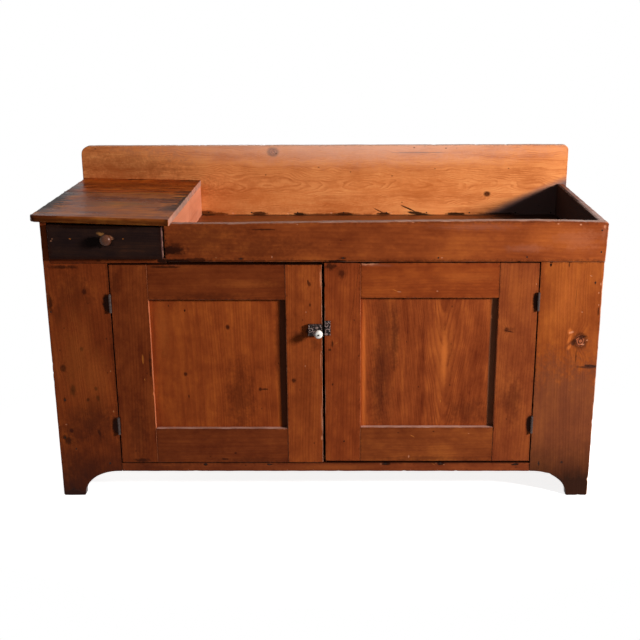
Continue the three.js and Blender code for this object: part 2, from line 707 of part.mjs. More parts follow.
// The bolt lies in the latch case this far out of the door's face
function boltRun() {
  const front = latchDepth - latchWall - boltClearance;
  return [front - boltThickness, front];
}

// The latch case is a cast box, open to the door, with bevelled front edges
function latchCase() {
  const x0 = spindleFromEnd - latchWidth;
  const x1 = spindleFromEnd;
  const z0 = spindleDrop - latchHeight / 2;
  const z1 = spindleDrop + latchHeight / 2;
  const shoulder = latchDepth - latchBevel;
  const across = outlineOf([
    [x0, -seam],
    [x0, -shoulder],
    [x0 + latchBevel, -latchDepth],
    [x1 - latchBevel, -latchDepth],
    [x1, -shoulder],
    [x1, -seam],
  ]);
  const upright = outlineOf([
    [-seam, z0],
    [-shoulder, z0],
    [-latchDepth, z0 + latchBevel],
    [-latchDepth, z1 - latchBevel],
    [-shoulder, z1],
    [-seam, z1],
  ]);
  const outside = lyingBoard(across, z0, z1).intersect(sideBoard(upright, x0, x1));
  const hollowFront = latchWall - latchDepth;
  const hollow = block(x0 + latchWall, x1 - latchWall, hollowFront, overrun, z0 + latchWall, z1 - latchWall);
  const [boltBack, boltFront] = boltRun();
  const mouthLow = boltLift - boltClearance;
  const mouthHigh = boltLift + boltHeight + boltClearance;
  const mouthEnds = [x1 - latchWall - overrun, x1 + overrun];
  const mouthY = [-boltFront - boltClearance, boltClearance - boltBack];
  const mouth = block(mouthEnds[0], mouthEnds[1], mouthY[0], mouthY[1], mouthLow, mouthHigh);
  const holeRadius = spindleCollarRadius + spindleClearance;
  const hole = bar("y", holeRadius, roundSides, 0, 0, -latchDepth - overrun, hollowFront + overrun);
  put(latch, "latch_case", outside.subtract(hollow).subtract(mouth).subtract(hole), ironFinish);
}

// The bolt slides sideways, driven by the cam's finger in a notch in its underside
function latchBolt() {
  const [back, front] = boltRun();
  const notchMiddle = -boltTravel / 2;
  const notchLeft = notchMiddle - notchWidth / 2;
  const notchRight = notchMiddle + notchWidth / 2;
  const tail = notchLeft - boltTailLength;
  const nose = spindleFromEnd + boltNose;
  const body = block(tail, nose, -front, -back, boltLift, boltLift + boltHeight);
  const notchY = [-front - overrun, overrun - back];
  const notchZ = [boltLift - overrun, boltLift + notchHeight];
  const notch = block(notchLeft, notchRight, notchY[0], notchY[1], notchZ[0], notchZ[1]);
  put(latch, "latch_bolt", body.subtract(notch), ironFinish);
}

// Spindle with its cam, head and collars, and the porcelain knob held on it
function latchSpindle() {
  const [back, front] = boltRun();
  const knobBack = latchDepth + seam;
  const knobFront = knobBack + knobLength;
  const headBack = knobFront + seam;
  const headFront = headBack + spindleHeadHeight;
  const finger = block(-camFingerWidth / 2, camFingerWidth / 2, -front, -back, 0, camFingerReach);
  const spindle = bar("y", spindleShankRadius, roundSides, 0, 0, -headFront, -back)
    .add(bar("y", spindleHeadRadius, roundSides, 0, 0, -headFront, -headBack))
    .add(bar("y", spindleCollarRadius, roundSides, 0, 0, -latchDepth, -seam))
    .add(bar("y", camRadius, roundSides, 0, 0, -front, -back))
    .add(finger);
  const turned = put(latch, "latch_spindle", spindle, ironFinish);
  turned.rotation.y = THREE.MathUtils.degToRad(-camSwing);

  const bore = spindleShankRadius + seam;
  const profile = knobRadiusShares.map((share, i) => [
    share * knobRadius,
    knobBack + knobLengthShares[i] * knobLength,
  ]);
  const knob = turnedOutwards([[bore, knobBack], ...profile, [bore, knobFront], [bore, knobBack]]);
  put(latch, "latch_knob", knob, porcelain);
}

// The keeper on the other door: a plate with a raised box whose mouth takes the bolt
function latchKeeper() {
  const [boltBack, boltFront] = boltRun();
  const x0 = keeperSetback;
  const x1 = keeperSetback + keeperWidth;
  const latchMiddle = latchMiddleHeight - rightDoorBottom;
  const middle = latchMiddle + keeperRise;
  const boltMiddle = latchMiddle - spindleDrop + boltLift + boltHeight / 2;
  const plateZ = [middle - keeperHeight / 2, middle + keeperHeight / 2];
  const plate = block(x0, x1, -keeperPlateThickness, -seam, plateZ[0], plateZ[1]);
  const shoulder = latchDepth - latchBevel;
  const boxOutline = outlineOf([
    [x0, -seam],
    [x0, -shoulder],
    [x0 + latchBevel, -latchDepth],
    [x1 - latchBevel, -latchDepth],
    [x1, -shoulder],
    [x1, -seam],
  ]);
  const boxZ = [boltMiddle - keeperBoxHeight / 2, boltMiddle + keeperBoxHeight / 2];
  const box = lyingBoard(boxOutline, boxZ[0], boxZ[1]);
  const mouthZ = boltHeight / 2 + keeperMouthClearance;
  const mouthY = [-boltFront - keeperMouthClearance, keeperMouthClearance - boltBack];
  const mouthX = [x0 - overrun, x0 + keeperMouthDepth];
  const mouth = block(mouthX[0], mouthX[1], mouthY[0], mouthY[1], boltMiddle - mouthZ, boltMiddle + mouthZ);
  put(rightDoor, "latch_keeper", plate.add(box).subtract(mouth), ironFinish);
}

function cupboardLatch() {
  const doorWidth = leftDoorEdge - (leftStileEdge + hingeGap);
  const spindleX = doorWidth - latchSetback - spindleFromEnd;
  latch.position.set(spindleX, 0, latchMiddleHeight - spindleDrop - leftDoorBottom);
  latchCase();
  latchBolt();
  latchSpindle();
  latchKeeper();
}

// From a door's back face to the middle of the bolt's rod
function innerRodMiddle() {
  return seam + innerPlateThickness + innerRodLift + innerRodSize / 2;
}

// A small bolt behind the right door, which slides up into the sink floor and holds that door shut
function innerBolt() {
  const x = innerBoltFromEdge;
  const y = boardThickness + innerRodMiddle();
  const plateBack = boardThickness + seam + innerPlateThickness;
  const plateTop = rightDoorTop - rightDoorBottom - innerPlateFromTop;
  const plateBottom = plateTop - innerPlateHeight;
  const halfPlate = innerPlateWidth / 2;
  const half = innerRodSize / 2;
  const channel = half + innerStapleClearance;
  const outer = channel + innerStapleWall;
  let plate = block(x - halfPlate, x + halfPlate, boardThickness + seam, plateBack, plateBottom, plateTop);
  for (const low of [plateBottom + innerStapleInset, plateTop - innerStapleInset - innerStapleHeight]) {
    const high = low + innerStapleHeight;
    const stapleFoot = plateBack - innerPlateThickness / 2;
    const staple = block(x - outer, x + outer, stapleFoot, y + outer, low, high);
    const slot = block(x - channel, x + channel, plateBack, y + channel, low - overrun, high + overrun);
    plate = plate.add(staple.subtract(slot));
  }
  put(rightDoor, "door_bolt_plate", plate, ironFinish);

  const rodTop = sinkFloorHeight - innerRodBelow - rightDoorBottom;
  const rod = block(x - half, x + half, y - half, y + half, rodTop - innerRodLength, rodTop);
  const thumbBottom = (plateBottom + plateTop - innerThumbHeight) / 2 - innerThumbHeight / 2;
  const thumbTop = thumbBottom + innerThumbHeight;
  const thumb = block(x - half, x + half, y, y + half + innerThumbReach, thumbBottom, thumbTop);
  put(rightDoor, "door_bolt_rod", rod.add(thumb), ironFinish);
}

// One dovetail in Y and Z, lowest point first, from its shoulder; grow widens and deepens it into a socket
function dovetail(i, shoulder, grow) {
  const pitch = drawerSideHeight / tailCount;
  const middle = (i + 1 / 2) * pitch;
  const wide = (tailWideShare * pitch) / 2 + grow;
  const narrow = (tailNarrowShare * pitch) / 2 + grow;
  const end = drawerFrontThickness - tailLength - grow;
  const low = [[shoulder, middle - narrow], [end, middle - wide]];
  const high = [[end, middle + wide], [shoulder, middle + narrow]];
  return [...low, ...high];
}

// The sockets for one side's tails, in the drawer front from x0 to x1
function sockets(x0, x1) {
  const face = drawerFrontThickness;
  return Array.from({ length: tailCount }, (_, i) => {
    const tail = dovetail(i, face, seam);
    const past = face + overrun;
    const outline = outlineOf([...tail, [past, tail[3][1]], [past, tail[0][1]]]);
    return sideBoard(outline, x0, x1);
  });
}

// A drawer side with its tails, sawn to one outline
function drawerSide(x0, x1, sideEnd) {
  const shoulder = drawerFrontThickness + seam;
  const tails = Array.from({ length: tailCount }, (_, i) => dovetail(i, shoulder, 0)).flat();
  const top = drawerSideHeight;
  const end = [[sideEnd, 0], [sideEnd, top]];
  const outline = outlineOf([...end, [shoulder, top], ...tails.reverse(), [shoulder, 0]]);
  return sideBoard(outline, x0, x1);
}

// The drawer in its own frame, from the front's left edge at the underside of the sides.
// Its front is joined to the sides by half-blind dovetails, and its bottom lies in grooves under the back.
// The front's top edge follows the slope of the worktop.
function makeDrawer() {
  const width = dividerFace - insideLeft - 2 * drawerSideClearance;
  const innerLeft = drawerSideThickness;
  const innerRight = width - drawerSideThickness;
  const sideEnd = drawerFrontThickness + drawerSideLength;
  const fallStart = worktopSlope * (insideLeft + drawerSideClearance - caseLeft);
  const frontTopLeft = drawerFrontLift + drawerFrontHeight - fallStart;
  const frontTopRight = frontTopLeft - worktopSlope * width;
  const grooveLow = drawerBottomInset - seam;
  const grooveHigh = drawerBottomInset + drawerBottomThickness + seam;
  const grooveLeft = innerLeft - drawerGroove;
  const grooveRight = innerRight + drawerGroove;
  const backEnd = sideEnd - drawerBackFromEnd;
  const backStart = backEnd - drawerBackThickness;
  const knobX = width / 2 + drawerKnobShift;
  const knobZ = drawerFrontLift + drawerFrontHeight / 2 + drawerKnobRise;
  drawer.position.set(insideLeft + drawerSideClearance, -drawerRest, drawerBase);

  const lower = [[0, drawerFrontLift], [width, drawerFrontLift]];
  const trimmed = outlineOf([...lower, [width, frontTopRight], [0, frontTopLeft]]);
  let front = facingBoard(trimmed, 0, drawerFrontThickness);
  const leftSockets = sockets(-overrun, innerLeft + seam);
  const rightSockets = sockets(innerRight - seam, width + overrun);
  for (const socket of [...leftSockets, ...rightSockets]) front = front.subtract(socket);
  const frontGroove = [drawerFrontThickness - drawerGroove, drawerFrontThickness + overrun];
  const groove = block(grooveLeft, grooveRight, frontGroove[0], frontGroove[1], grooveLow, grooveHigh);
  const holeY = [-overrun, drawerFrontThickness + overrun];
  const hole = bar("y", drawerKnobTenonRadius + seam, roundSides, knobX, knobZ, holeY[0], holeY[1]);
  front = front.subtract(groove).subtract(hole);
  put(drawer, "drawer_front", front, pineDark);

  const sides = [
    ["drawer_side_left", 0, innerLeft, innerLeft],
    ["drawer_side_right", innerRight, width, innerRight],
  ];
  for (const [name, x0, x1, face] of sides) {
    let side = drawerSide(x0, x1, sideEnd);
    const cut = [face - drawerGroove, face + drawerGroove];
    const cutY = [backStart - seam, backEnd + seam];
    const cutZ = [grooveHigh - drawerBottomThickness / 2, drawerSideHeight + overrun];
    side = side.subtract(block(cut[0], cut[1], -overrun, sideEnd + overrun, grooveLow, grooveHigh));
    side = side.subtract(block(cut[0], cut[1], cutY[0], cutY[1], cutZ[0], cutZ[1]));
    put(drawer, name, side, pineInside);
  }

  const backTop = drawerSideHeight - drawerBackDrop;
  const back = block(grooveLeft + seam, grooveRight - seam, backStart, backEnd, grooveHigh, backTop);
  put(drawer, "drawer_back", back, pineInside);
  const bottomX = [grooveLeft + seam, grooveRight - seam];
  const bottomFront = frontGroove[0] + seam;
  const bottomTop = drawerBottomInset + drawerBottomThickness;
  const bottom = block(bottomX[0], bottomX[1], bottomFront, sideEnd, drawerBottomInset, bottomTop);
  put(drawer, "drawer_bottom", bottom, pineInside);

  const turned = drawerKnobRadiusShares.map((share, i) => [
    share * drawerKnobRadius,
    seam + drawerKnobLengthShares[i] * drawerKnobLength,
  ]);
  const tenon = [
    [0, -drawerFrontThickness],
    [drawerKnobTenonRadius, -drawerFrontThickness],
    [drawerKnobTenonRadius, seam],
  ];
  const profile = [...tenon, ...turned, [0, seam + drawerKnobLength]];
  const knob = put(drawer, "drawer_knob", turnedOutwards(profile), pineFront);
  knob.position.set(knobX, 0, knobZ);
}

// A block on the sink floor that the drawer meets when it is pushed right in
function drawerStop() {
  const stopMiddle = insideLeft + stopShare * (dividerFace - insideLeft);
  const y0 = drawerFrontThickness + drawerSideLength + seam;
  const z0 = sinkFloorTop + seam;
  const x0 = stopMiddle - stopWidth / 2;
  const stop = block(x0, x0 + stopWidth, y0, y0 + stopLength, z0, z0 + stopHeight);
  put(carcase, "drawer_stop", stop, pineInside);
}

sidePanel("side_panel_left", caseLeft, insideLeft, insideLeft, sideTop);
sidePanel("side_panel_right", insideRight, caseRight, insideRight, rimHeight);
frontStiles();
frontRails();
sinkFloor();
insideBoards();
backBoards();
splashBoard();
worktop();
drawerStop();
doors();
cupboardLatch();
innerBolt();
makeDrawer();

// The finished cabinet stands on the floor at the middle of its own extent
const bounds = new THREE.Box3().setFromObject(cabinet);
const middle = bounds.getCenter(new THREE.Vector3());
cabinet.position.set(-middle.x, -middle.y, -bounds.min.z);

export default cabinet;
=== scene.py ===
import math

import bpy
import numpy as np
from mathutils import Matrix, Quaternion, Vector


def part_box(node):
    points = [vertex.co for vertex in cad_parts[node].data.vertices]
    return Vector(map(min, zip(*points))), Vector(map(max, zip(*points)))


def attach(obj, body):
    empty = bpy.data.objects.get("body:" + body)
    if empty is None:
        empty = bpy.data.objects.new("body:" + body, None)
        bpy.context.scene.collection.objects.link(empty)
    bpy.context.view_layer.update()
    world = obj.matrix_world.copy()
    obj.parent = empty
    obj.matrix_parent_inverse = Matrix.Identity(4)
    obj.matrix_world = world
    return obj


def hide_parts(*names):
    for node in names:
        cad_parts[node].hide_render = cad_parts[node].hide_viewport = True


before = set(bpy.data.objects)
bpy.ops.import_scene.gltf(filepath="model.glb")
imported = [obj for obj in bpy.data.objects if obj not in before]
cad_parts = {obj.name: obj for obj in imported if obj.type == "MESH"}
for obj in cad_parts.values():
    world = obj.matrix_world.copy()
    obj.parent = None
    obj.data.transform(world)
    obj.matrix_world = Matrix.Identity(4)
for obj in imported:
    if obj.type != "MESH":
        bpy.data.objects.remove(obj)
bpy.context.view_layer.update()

# A long pine dry sink, old and much used: hand-planed boards under darkened shellac, a honey coloured
# splash board, a stained worktop over one blackened drawer, iron butt hinges and a porcelain latch knob.
# The frame is in metres, +X to the right along the front, +Y to the back, +Z up. mm is one millimetre.

mm = 0.001
scene = bpy.context.scene
print("frame loaded:", len(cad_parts), "nodes")

# The camera stands where the photographer stood: eye height, a little right of the middle
camera = {
    "place": (81 * mm, -2874.45 * mm, 1381.7 * mm),
    "pitch": 16.85,  # degrees below level
    "lens": 55.72,
    "shift": (-0.0469, -0.0313),
}
cameraData = bpy.data.cameras.new("camera")
cameraData.lens = camera["lens"]
cameraData.sensor_width = 36
cameraData.shift_x, cameraData.shift_y = camera["shift"]
cameraObject = bpy.data.objects.new("camera", cameraData)
cameraObject.location = camera["place"]
cameraObject.rotation_euler = (math.radians(90 - camera["pitch"]), 0, 0)
scene.collection.objects.link(cameraObject)
scene.camera = cameraObject
print("camera placed")


# Colours and shader nodes

def linear(code):
    # sRGB hex to linear: each channel c becomes ((c + 0.055) / 1.055) to the power 2.4
    values = [int(code[i:i + 2], 16) / 255 for i in (1, 3, 5)]
    return [v / 12.92 if v <= 0.04045 else ((v + 0.055) / 1.055) ** 2.4 for v in values] + [1.0]


# which setting the second word of a node's kind is for, as in "Math ADD"
modeSettings = {"Math": "operation", "VectorMath": "operation", "MapRange": "interpolation_type",
                "Mix": "data_type", "Mapping": "vector_type"}


def adder(tree):
    # The function that adds a node to this tree. Values go to the node's sockets in order, and those in a
    # dictionary to the sockets that it names. One output comes back, or all of them for out=None. stops are
    # a colour ramp's pairs of place and sRGB hex.
    tree.nodes.clear()

    def add(kind, *values, out=0, stops=(), **settings):
        kind, _, mode = kind.partition(" ")
        fresh = tree.nodes.new("ShaderNode" + kind)
        if mode:
            settings[modeSettings[kind]] = mode
        for key, value in settings.items():
            setattr(fresh, key, value)
        for k, (place, code) in enumerate(stops):
            points = fresh.color_ramp.elements
            point = points[k] if k < 2 else points.new(place)
            point.position, point.color = place, linear(code)
        sockets = {}
        for k, value in enumerate(values):
            sockets.update(value if isinstance(value, dict) else {k: value})
        for key, value in sockets.items():
            if isinstance(value, bpy.types.NodeSocket):
                tree.links.new(value, fresh.inputs[key])
            else:
                fresh.inputs[key].default_value = value
        return fresh.outputs if out is None else fresh.outputs[out]

    return add


def newMaterial(name):
    made = bpy.data.materials.new(name)
    made.use_nodes = True
    return made, adder(made.node_tree)


# Finishes of the pine. Ramp colours run from the darkest wood to the brightest. The edge colours are for
# dirty edges and for pale ones, which stand for rubbed wear and painted highlights.
finishes = {
    # shellac laid on by brush and darkened by a century of kitchen smoke: deep orange brown, low sheen
    "shellac": {
        "slot": "pine_shellacked",
        "tones": [(0.0, "#3a150b"), (0.3, "#652a12"), (0.55, "#86401c"), (0.8, "#a45624"), (1.0, "#c0723a")],
        "roughness": 0.44, "sheen": "#a05a40", "gloss": 0.4, "ring": 0.05, "fibre": 0.07, "blotch": 0.25,
        "relief": 0.26, "edgeDirt": "#120706", "edgeRubAndHighlight": "#d07a52",
    },
    # the same shellac where no hand or heat reached it: clear honey, with the grain open to the eye
    "honey": {
        "slot": "pine_honey",
        "tones": [(0.0, "#843a18"), (0.3, "#b4683a"), (0.55, "#d48854"), (0.8, "#e29c64"), (1.0, "#edb888")],
        "roughness": 0.42, "sheen": "#c88858", "gloss": 0.4, "ring": 0.15, "fibre": 0.12, "blotch": 0.2,
        "relief": 0.28, "edgeDirt": "#3a1c10", "edgeRubAndHighlight": "#e6b49a",
    },
    # scrubbed and stained top: tan brown streaks under old wax
    "worktop": {
        "slot": "pine_worktop",
        "tones": [(0.0, "#1e0e07"), (0.3, "#5a2c12"), (0.55, "#86512a"), (0.8, "#a8743e"), (1.0, "#c49a62")],
        "roughness": 0.3, "sheen": "#a86c44", "gloss": 0.03, "ring": 0.06, "fibre": 0.34, "blotch": 0.36,
        "relief": 0.3, "edgeDirt": "#1c0e08", "edgeRubAndHighlight": "#c8a090",
    },
    # bare pine inside, never finished, only browned by age: dull and dusty
    "bare": {
        "slot": "pine_unfinished",
        "tones": [(0.0, "#402615"), (0.3, "#6e4629"), (0.55, "#8f633e"), (0.8, "#a97e54"), (1.0, "#c09a70")],
        "roughness": 0.72, "sheen": "#a07850", "gloss": 0.3, "ring": 0.2, "fibre": 0.16, "blotch": 0.2,
        "relief": 0.3, "edgeDirt": "#3a2414", "edgeRubAndHighlight": "#d8b890",
    },
    # turned hardwood polished by hands, dark in the hollows
    "turned": {
        "slot": "turned_knob_wood",
        "tones": [(0.0, "#1c0e08"), (0.4, "#4a2615"), (0.65, "#6e4028"), (0.85, "#8e5c3e"), (1.0, "#b08464")],
        "roughness": 0.3, "sheen": "#ffe0d2", "gloss": 0.36, "ring": 0.14, "fibre": 0.14, "blotch": 0.25,
        "relief": 0.15, "edgeDirt": "#0a0605", "edgeRubAndHighlight": "#c09070",
    },
    # a front blackened by hands and grease, with the wood only guessed below
    "blackened": {
        "slot": "pine_blackened",
        "tones": [(0.0, "#0d0908"), (0.4, "#1c1210"), (0.65, "#281913"), (0.85, "#3a2216"), (1.0, "#5a3820")],
        "roughness": 0.5, "sheen": "#5a4038", "gloss": 0.3, "ring": 0.08, "fibre": 0.2, "blotch": 0.3,
        "relief": 0.4, "edgeDirt": "#0a0605", "edgeRubAndHighlight": "#a06a50",
    },
}

# Marks that use has left, and some that paint shadow, shade and highlights: colour, strength, softness of the
# rim as a share, and raggedness
markKinds = {
    # soot, which also serves as painted shadow beside the hinges, under the latch, in the well and in the
    # drawer's gap
    "soot": ("#080404", 0.98, 0.5, 0.5),
    # painted shadow: near black with a crisp, even rim
    "paintedShadow": ("#241b1a", 0.985, 0.15, 0.02),
    "black": ("#0b0605", 0.95, 0.4, 0.7),
    "dark": ("#200c06", 0.8, 0.7, 0.8),
    "shade": ("#3a160b", 0.4, 0.98, 0.9),
    "dusk": ("#33150f", 0.42, 0.98, 0.4),
    "bloom": ("#a06a58", 0.2, 0.98, 0.9),
    "rust": ("#a8501e", 0.4, 0.98, 0.6),
    "film": ("#5a3527", 0.52, 0.35, 0.4),
    "amber": ("#c86c30", 0.6, 0.8, 0.25),
    "tan": ("#a8762e", 0.4, 0.98, 0.8),
    "glow": ("#cf7232", 0.2, 0.98, 0.9),
    # a painted pale halo of light
    "haze": ("#f2c4ae", 0.55, 0.98, 0.25),
    "pale": ("#cf8c68", 0.62, 0.7, 0.9),
    "scratch": ("#c9762f", 0.6, 0.6, 0.5),
    "worn": ("#a3713f", 0.8, 0.6, 1.0),
    # a painted cool highlight on edges that face the lamp
    "lilac": ("#7a5650", 0.9, 0.4, 0.3),
}


def pine(name, wood):
    # Pine as a solid: growth rings are cylinders round a pith that leans and wanders, so a flat face shows
    # cathedrals, a face far from the pith shows straight lines, and a board's end shows arcs.
    # grain names the axes along the grain, across the face and into the wood; face is the face's place.
    finish = finishes[wood["finish"]]
    made, add = newMaterial(name)
    inMm = add("VectorMath SCALE", add("TexCoord", out="Object"), {"Scale": 1 / mm})
    axes = add("SeparateXYZ", inMm, out=None)
    along, across, deep = [axes["xyz".index(letter)] for letter in wood["grain"]]
    spot = add("CombineXYZ", along, across, add("Math SUBTRACT", deep, wood["face"]))
    seed = wood["seed"] * 7.31
    shift = (seed, seed * 0.37, seed * 0.61)

    # the grain wanders: a low noise pushes each point before its distance from the pith is taken
    wave = wood.get("wave", (420, 90))
    lowSpot = add("Mapping", spot, shift, {"Scale": (1 / wave[0], 1 / wave[1], 1 / wave[1])})
    low = add("TexNoise", lowSpot, {"Scale": 1, "Detail": 2.5, "Roughness": 0.5}, out="Color")
    pushed = add("VectorMath SUBTRACT", low, (0.5, 0.5, 0.5))
    bent = add("VectorMath MULTIPLY_ADD", pushed, [2 * v for v in wood.get("waver", (0, 9, 9))], spot)
    fromPith = add("VectorMath SUBTRACT", bent, (0, *wood.get("pith", (0, 60))))
    radius = add("VectorMath LENGTH", add("VectorMath MULTIPLY", fromPith, (0, 1, 1)), out="Value")
    lean = add("VectorMath DOT_PRODUCT", fromPith, (wood.get("taper", 0.02), 0, 0), out="Value")
    rings = add("Math ADD", radius, lean)

    # noise with its reach along and across the grain in millimetres: fibres, bands left by the brush,
    # blotches, clouds, and where the edges are rubbed
    fields = []
    for source, long, wide, detail, rough in (
            (bent, 170, 5.6, 3, 0.62), (bent, 420, 23, 2, 0.5), (spot, 130, 75, 4, 0.58),
            (spot, 34, 24, 3, 0.55), (spot, 46, 12, 3, 0.5)):
        placed = add("Mapping", source, shift, {"Scale": (1 / long, 1 / wide, 1 / wide)})
        fields.append(add("TexNoise", placed, {"Scale": 1, "Detail": detail, "Roughness": rough}))
    fine, broad, patch, cloud, rub = fields
    grit = add("TexNoise", spot, {"Scale": 1 / 9, "Detail": 4, "Roughness": 0.6})
    noises = (broad, patch, cloud, grit)
    broadEven, patchEven, cloudEven, gritEven = [add("Math ADD", noise, -0.5) for noise in noises]

    # Knots push the rings aside. Each has a dark rim and circles in its heart. From here on, layers gathers
    # pairs of strength and colour that are laid over the wood at the end.
    layers = []
    for u, v, size, dark in wood.get("knots", []):
        placed = add("Mapping TEXTURE", spot, (u, v, 0), {"Scale": (1.25, 1, 3)})
        away = add("VectorMath LENGTH", placed, out="Value")
        rings = add("Math ADD", rings, add("MapRange SMOOTHSTEP", away, 0, size * 3.6, size * 1.3, 0))
        ragged = add("Math MULTIPLY_ADD", gritEven, size * 0.5, away)
        rim = add("MapRange SMOOTHSTEP", ragged, size * 1.0, size * 1.75, 1, 0)
        core = add("MapRange", ragged, size * 0.8, size * 1.1, 1, 0)
        turn = add("Math MULTIPLY_ADD", gritEven, size * 1.2, away)
        circles = add("Math SINE", add("Math MULTIPLY", turn, 13 / size))
        shade = add("MapRange", circles, -1, 1, 0, 1)
        light = "#a05838" if size > 9 else "#45190c"
        heart = add("ValToRGB", shade, stops=[(0.0, "#2b0f07"), (1.0, light)])
        layers += [(add("Math MULTIPLY", rim, 0.75 * dark), linear("#2a0f07")),
                   (add("Math MULTIPLY", core, 0.4 + 0.6 * dark), heart)]

    # ring width changes from year to year; a ring darkens slowly and ends sharply
    width = wood.get("ringWidth", 5.0)
    year = add("Math MULTIPLY", rings, 1 / (width * 4.3))
    uneven = add("TexNoise", {"W": year, "Scale": 1, "Detail": 1}, noise_dimensions="1D")
    years = add("Math MULTIPLY_ADD", uneven, width * 3.0, rings)
    part = add("Math FRACT", add("Math DIVIDE", years, width))
    rise = add("MapRange SMOOTHSTEP", part, 0.25, 0.84)
    late = add("Math MULTIPLY", rise, add("MapRange SMOOTHSTEP", part, 0.86, 1.0, 1, 0))
    strong = add("MapRange", cloud, 0.36, 0.62, 0.15, 1.5)
    lateEven = add("Math MULTIPLY", add("Math ADD", late, -0.36), strong)
    if "ringFade" in wood:
        lateEven = add("Math MULTIPLY", lateEven, add("MapRange", radius, *wood["ringFade"], 1, 0.2))

    # tone = level + fibres - late wood + blotches + clouds + bands + grit
    ring, fibre, blotch = [wood.get(key, finish[key]) for key in ("ring", "fibre", "blotch")]
    tone = add("Math MULTIPLY_ADD", add("Math ADD", fine, broad), fibre * 1.6,
               wood.get("level", 0.55) - fibre * 1.6)
    for source, gain in ((lateEven, -ring), (patchEven, blotch * 2.6), (cloudEven, blotch * 1.3),
                         (broadEven, wood.get("band", 0.15)), (gritEven, 0.12)):
        tone = add("Math MULTIPLY_ADD", source, gain, tone)
    colour = add("ValToRGB", tone, stops=finish["tones"])
    colour = add("VectorMath MULTIPLY", colour, wood.get("tint", (1, 1, 1)))

    # marks at real places on the face: along and across the grain, reach both ways, and where they have them
    # a turn in degrees and a depth in the wood; a board may name its own colour for a kind
    bump = add("Math MULTIPLY", late, 0.5)
    dull = None
    for kind, (code, strength, soft, ragged) in markKinds.items():
        whole = None
        for u, v, reachU, reachV, *more in wood.get("marks", {}).get(kind, []):
            turned, sunk = (*more, 0, 0)[:2]
            placed = add("Mapping TEXTURE", spot, (u, v, sunk), (0, 0, math.radians(turned)),
                         (reachU, reachV, wood.get("markDepth", 9)))
            away = add("VectorMath LENGTH", placed, out="Value")
            away = add("Math MULTIPLY_ADD", gritEven, ragged * 1.3, away)
            away = add("Math MULTIPLY_ADD", cloudEven, ragged * 1.2, away)
            mask = add("MapRange SMOOTHSTEP", away, 1 - soft, 1, 1, 0)
            whole = mask if whole is None else add("Math MAXIMUM", whole, mask)
        if whole is None:
            continue
        layers.append((add("Math MULTIPLY", whole, strength), linear(wood.get(kind, code))))
        # the painted shadow is also made fully rough, so that it holds no sheen
        if kind == "paintedShadow":
            dull = whole
        if kind in ("black", "pale", "scratch"):
            bump = add("Math MULTIPLY_ADD", whole, -1.5, bump)

    # smoke and floor washing darken a board towards its foot
    if "smoke" in wood:
        dark, clear, strength = wood["smoke"]
        away = add("Math MULTIPLY_ADD", cloudEven, 0.3 * (clear - dark), along)
        amount = add("Math POWER", add("MapRange", away, dark, clear, 1, 0), 1.5)
        layers.append((add("Math MULTIPLY", amount, strength), linear(wood.get("smokeColour", "#21120f"))))

    # small knocks: a few cells of a stretched cell pattern hold a dark dot or a pale chip
    cellSpot = add("Mapping", spot, shift, {"Scale": (1 / 34, 1 / 21, 1 / 21)})
    cells = add("TexVoronoi", cellSpot, {"Scale": 1}, out=None)
    chance = add("SeparateColor", cells["Color"], out=None)
    dot = add("MapRange", cells["Distance"], 0.05, 0.11, 1, 0)
    few = wood.get("knocks", 0.1)
    dots = []
    for channel, share, strength, code in ((0, few, 0.7, "#1c0b06"), (1, few * 0.2, 0.6, "#c98a58")):
        struck = add("Math MULTIPLY", dot, add("Math LESS_THAN", chance[channel], share))
        dots.append(add("Math MULTIPLY", struck, strength))
        layers.append((dots[-1], linear(code)))

    # grime gathers within a finger's width of the board's borders, given as low and high places on the face
    if "border" in wood:
        u0, u1, v0, v1 = wood["border"]
        inner = add("Math SUBTRACT", along, u0)
        for ahead, behind in ((u1, along), (across, v0), (v1, across)):
            inner = add("Math MINIMUM", inner, add("Math SUBTRACT", ahead, behind))
        inner = add("Math MULTIPLY_ADD", gritEven, 22, inner)
        grime = add("MapRange SMOOTHSTEP", inner, -1, wood.get("grimeReach", 13), wood.get("grime", 0.5), 0)
        layers.append((grime, linear("#240e07")))

    # the mesh keeps where a board's face turns into its edge: arris peaks on the rounding, and rim says how
    # dirty (below 0) or pale (above 0) the edge is; the pale is rubbed wear and, on edges that face the lamp,
    # a painted highlight
    arris, rim = [add("Attribute", out="Fac", attribute_name=key) for key in ("arris", "rim")]
    rub = add("MapRange", rub, 0.44, 0.64)
    worn = add("Math MULTIPLY", add("Math MULTIPLY", arris, rub), wood.get("rubbed", 0.4))
    rubbed = add("Math MULTIPLY_ADD", add("Math MULTIPLY_ADD", rub, 0.35, 0.65), rim, worn, use_clamp=True)
    dirty = add("Math MULTIPLY", rim, -1.0, use_clamp=True)
    layers.append((dirty, linear(finish["edgeDirt"])))
    layers.append((rubbed, linear(wood.get("rubAndHighlightColour", finish["edgeRubAndHighlight"]))))
    for amount, top in layers:
        colour = add("Mix RGBA", amount, {6: colour, 7: top}, out=2)

    roughness = add("MapRange", patch, 0.3, 0.7, finish["roughness"] - 0.09, finish["roughness"] + 0.14)
    if dull is not None:
        roughness = add("Math MAXIMUM", roughness, dull)
    for source, gain in ((fine, 0.8), (patch, 2.4), (dots[0], -1.2)):
        bump = add("Math MULTIPLY_ADD", source, gain, bump)
    add("OutputMaterial", add("BsdfPrincipled", {
        "Base Color": colour, "Roughness": roughness, "IOR": 1.46, "Specular IOR Level": finish["gloss"],
        "Specular Tint": linear(finish["sheen"]),
        "Normal": add("Bump", {"Height": bump, "Strength": 1.0, "Distance": finish["relief"] * mm}),
    }), out=None)
    return made


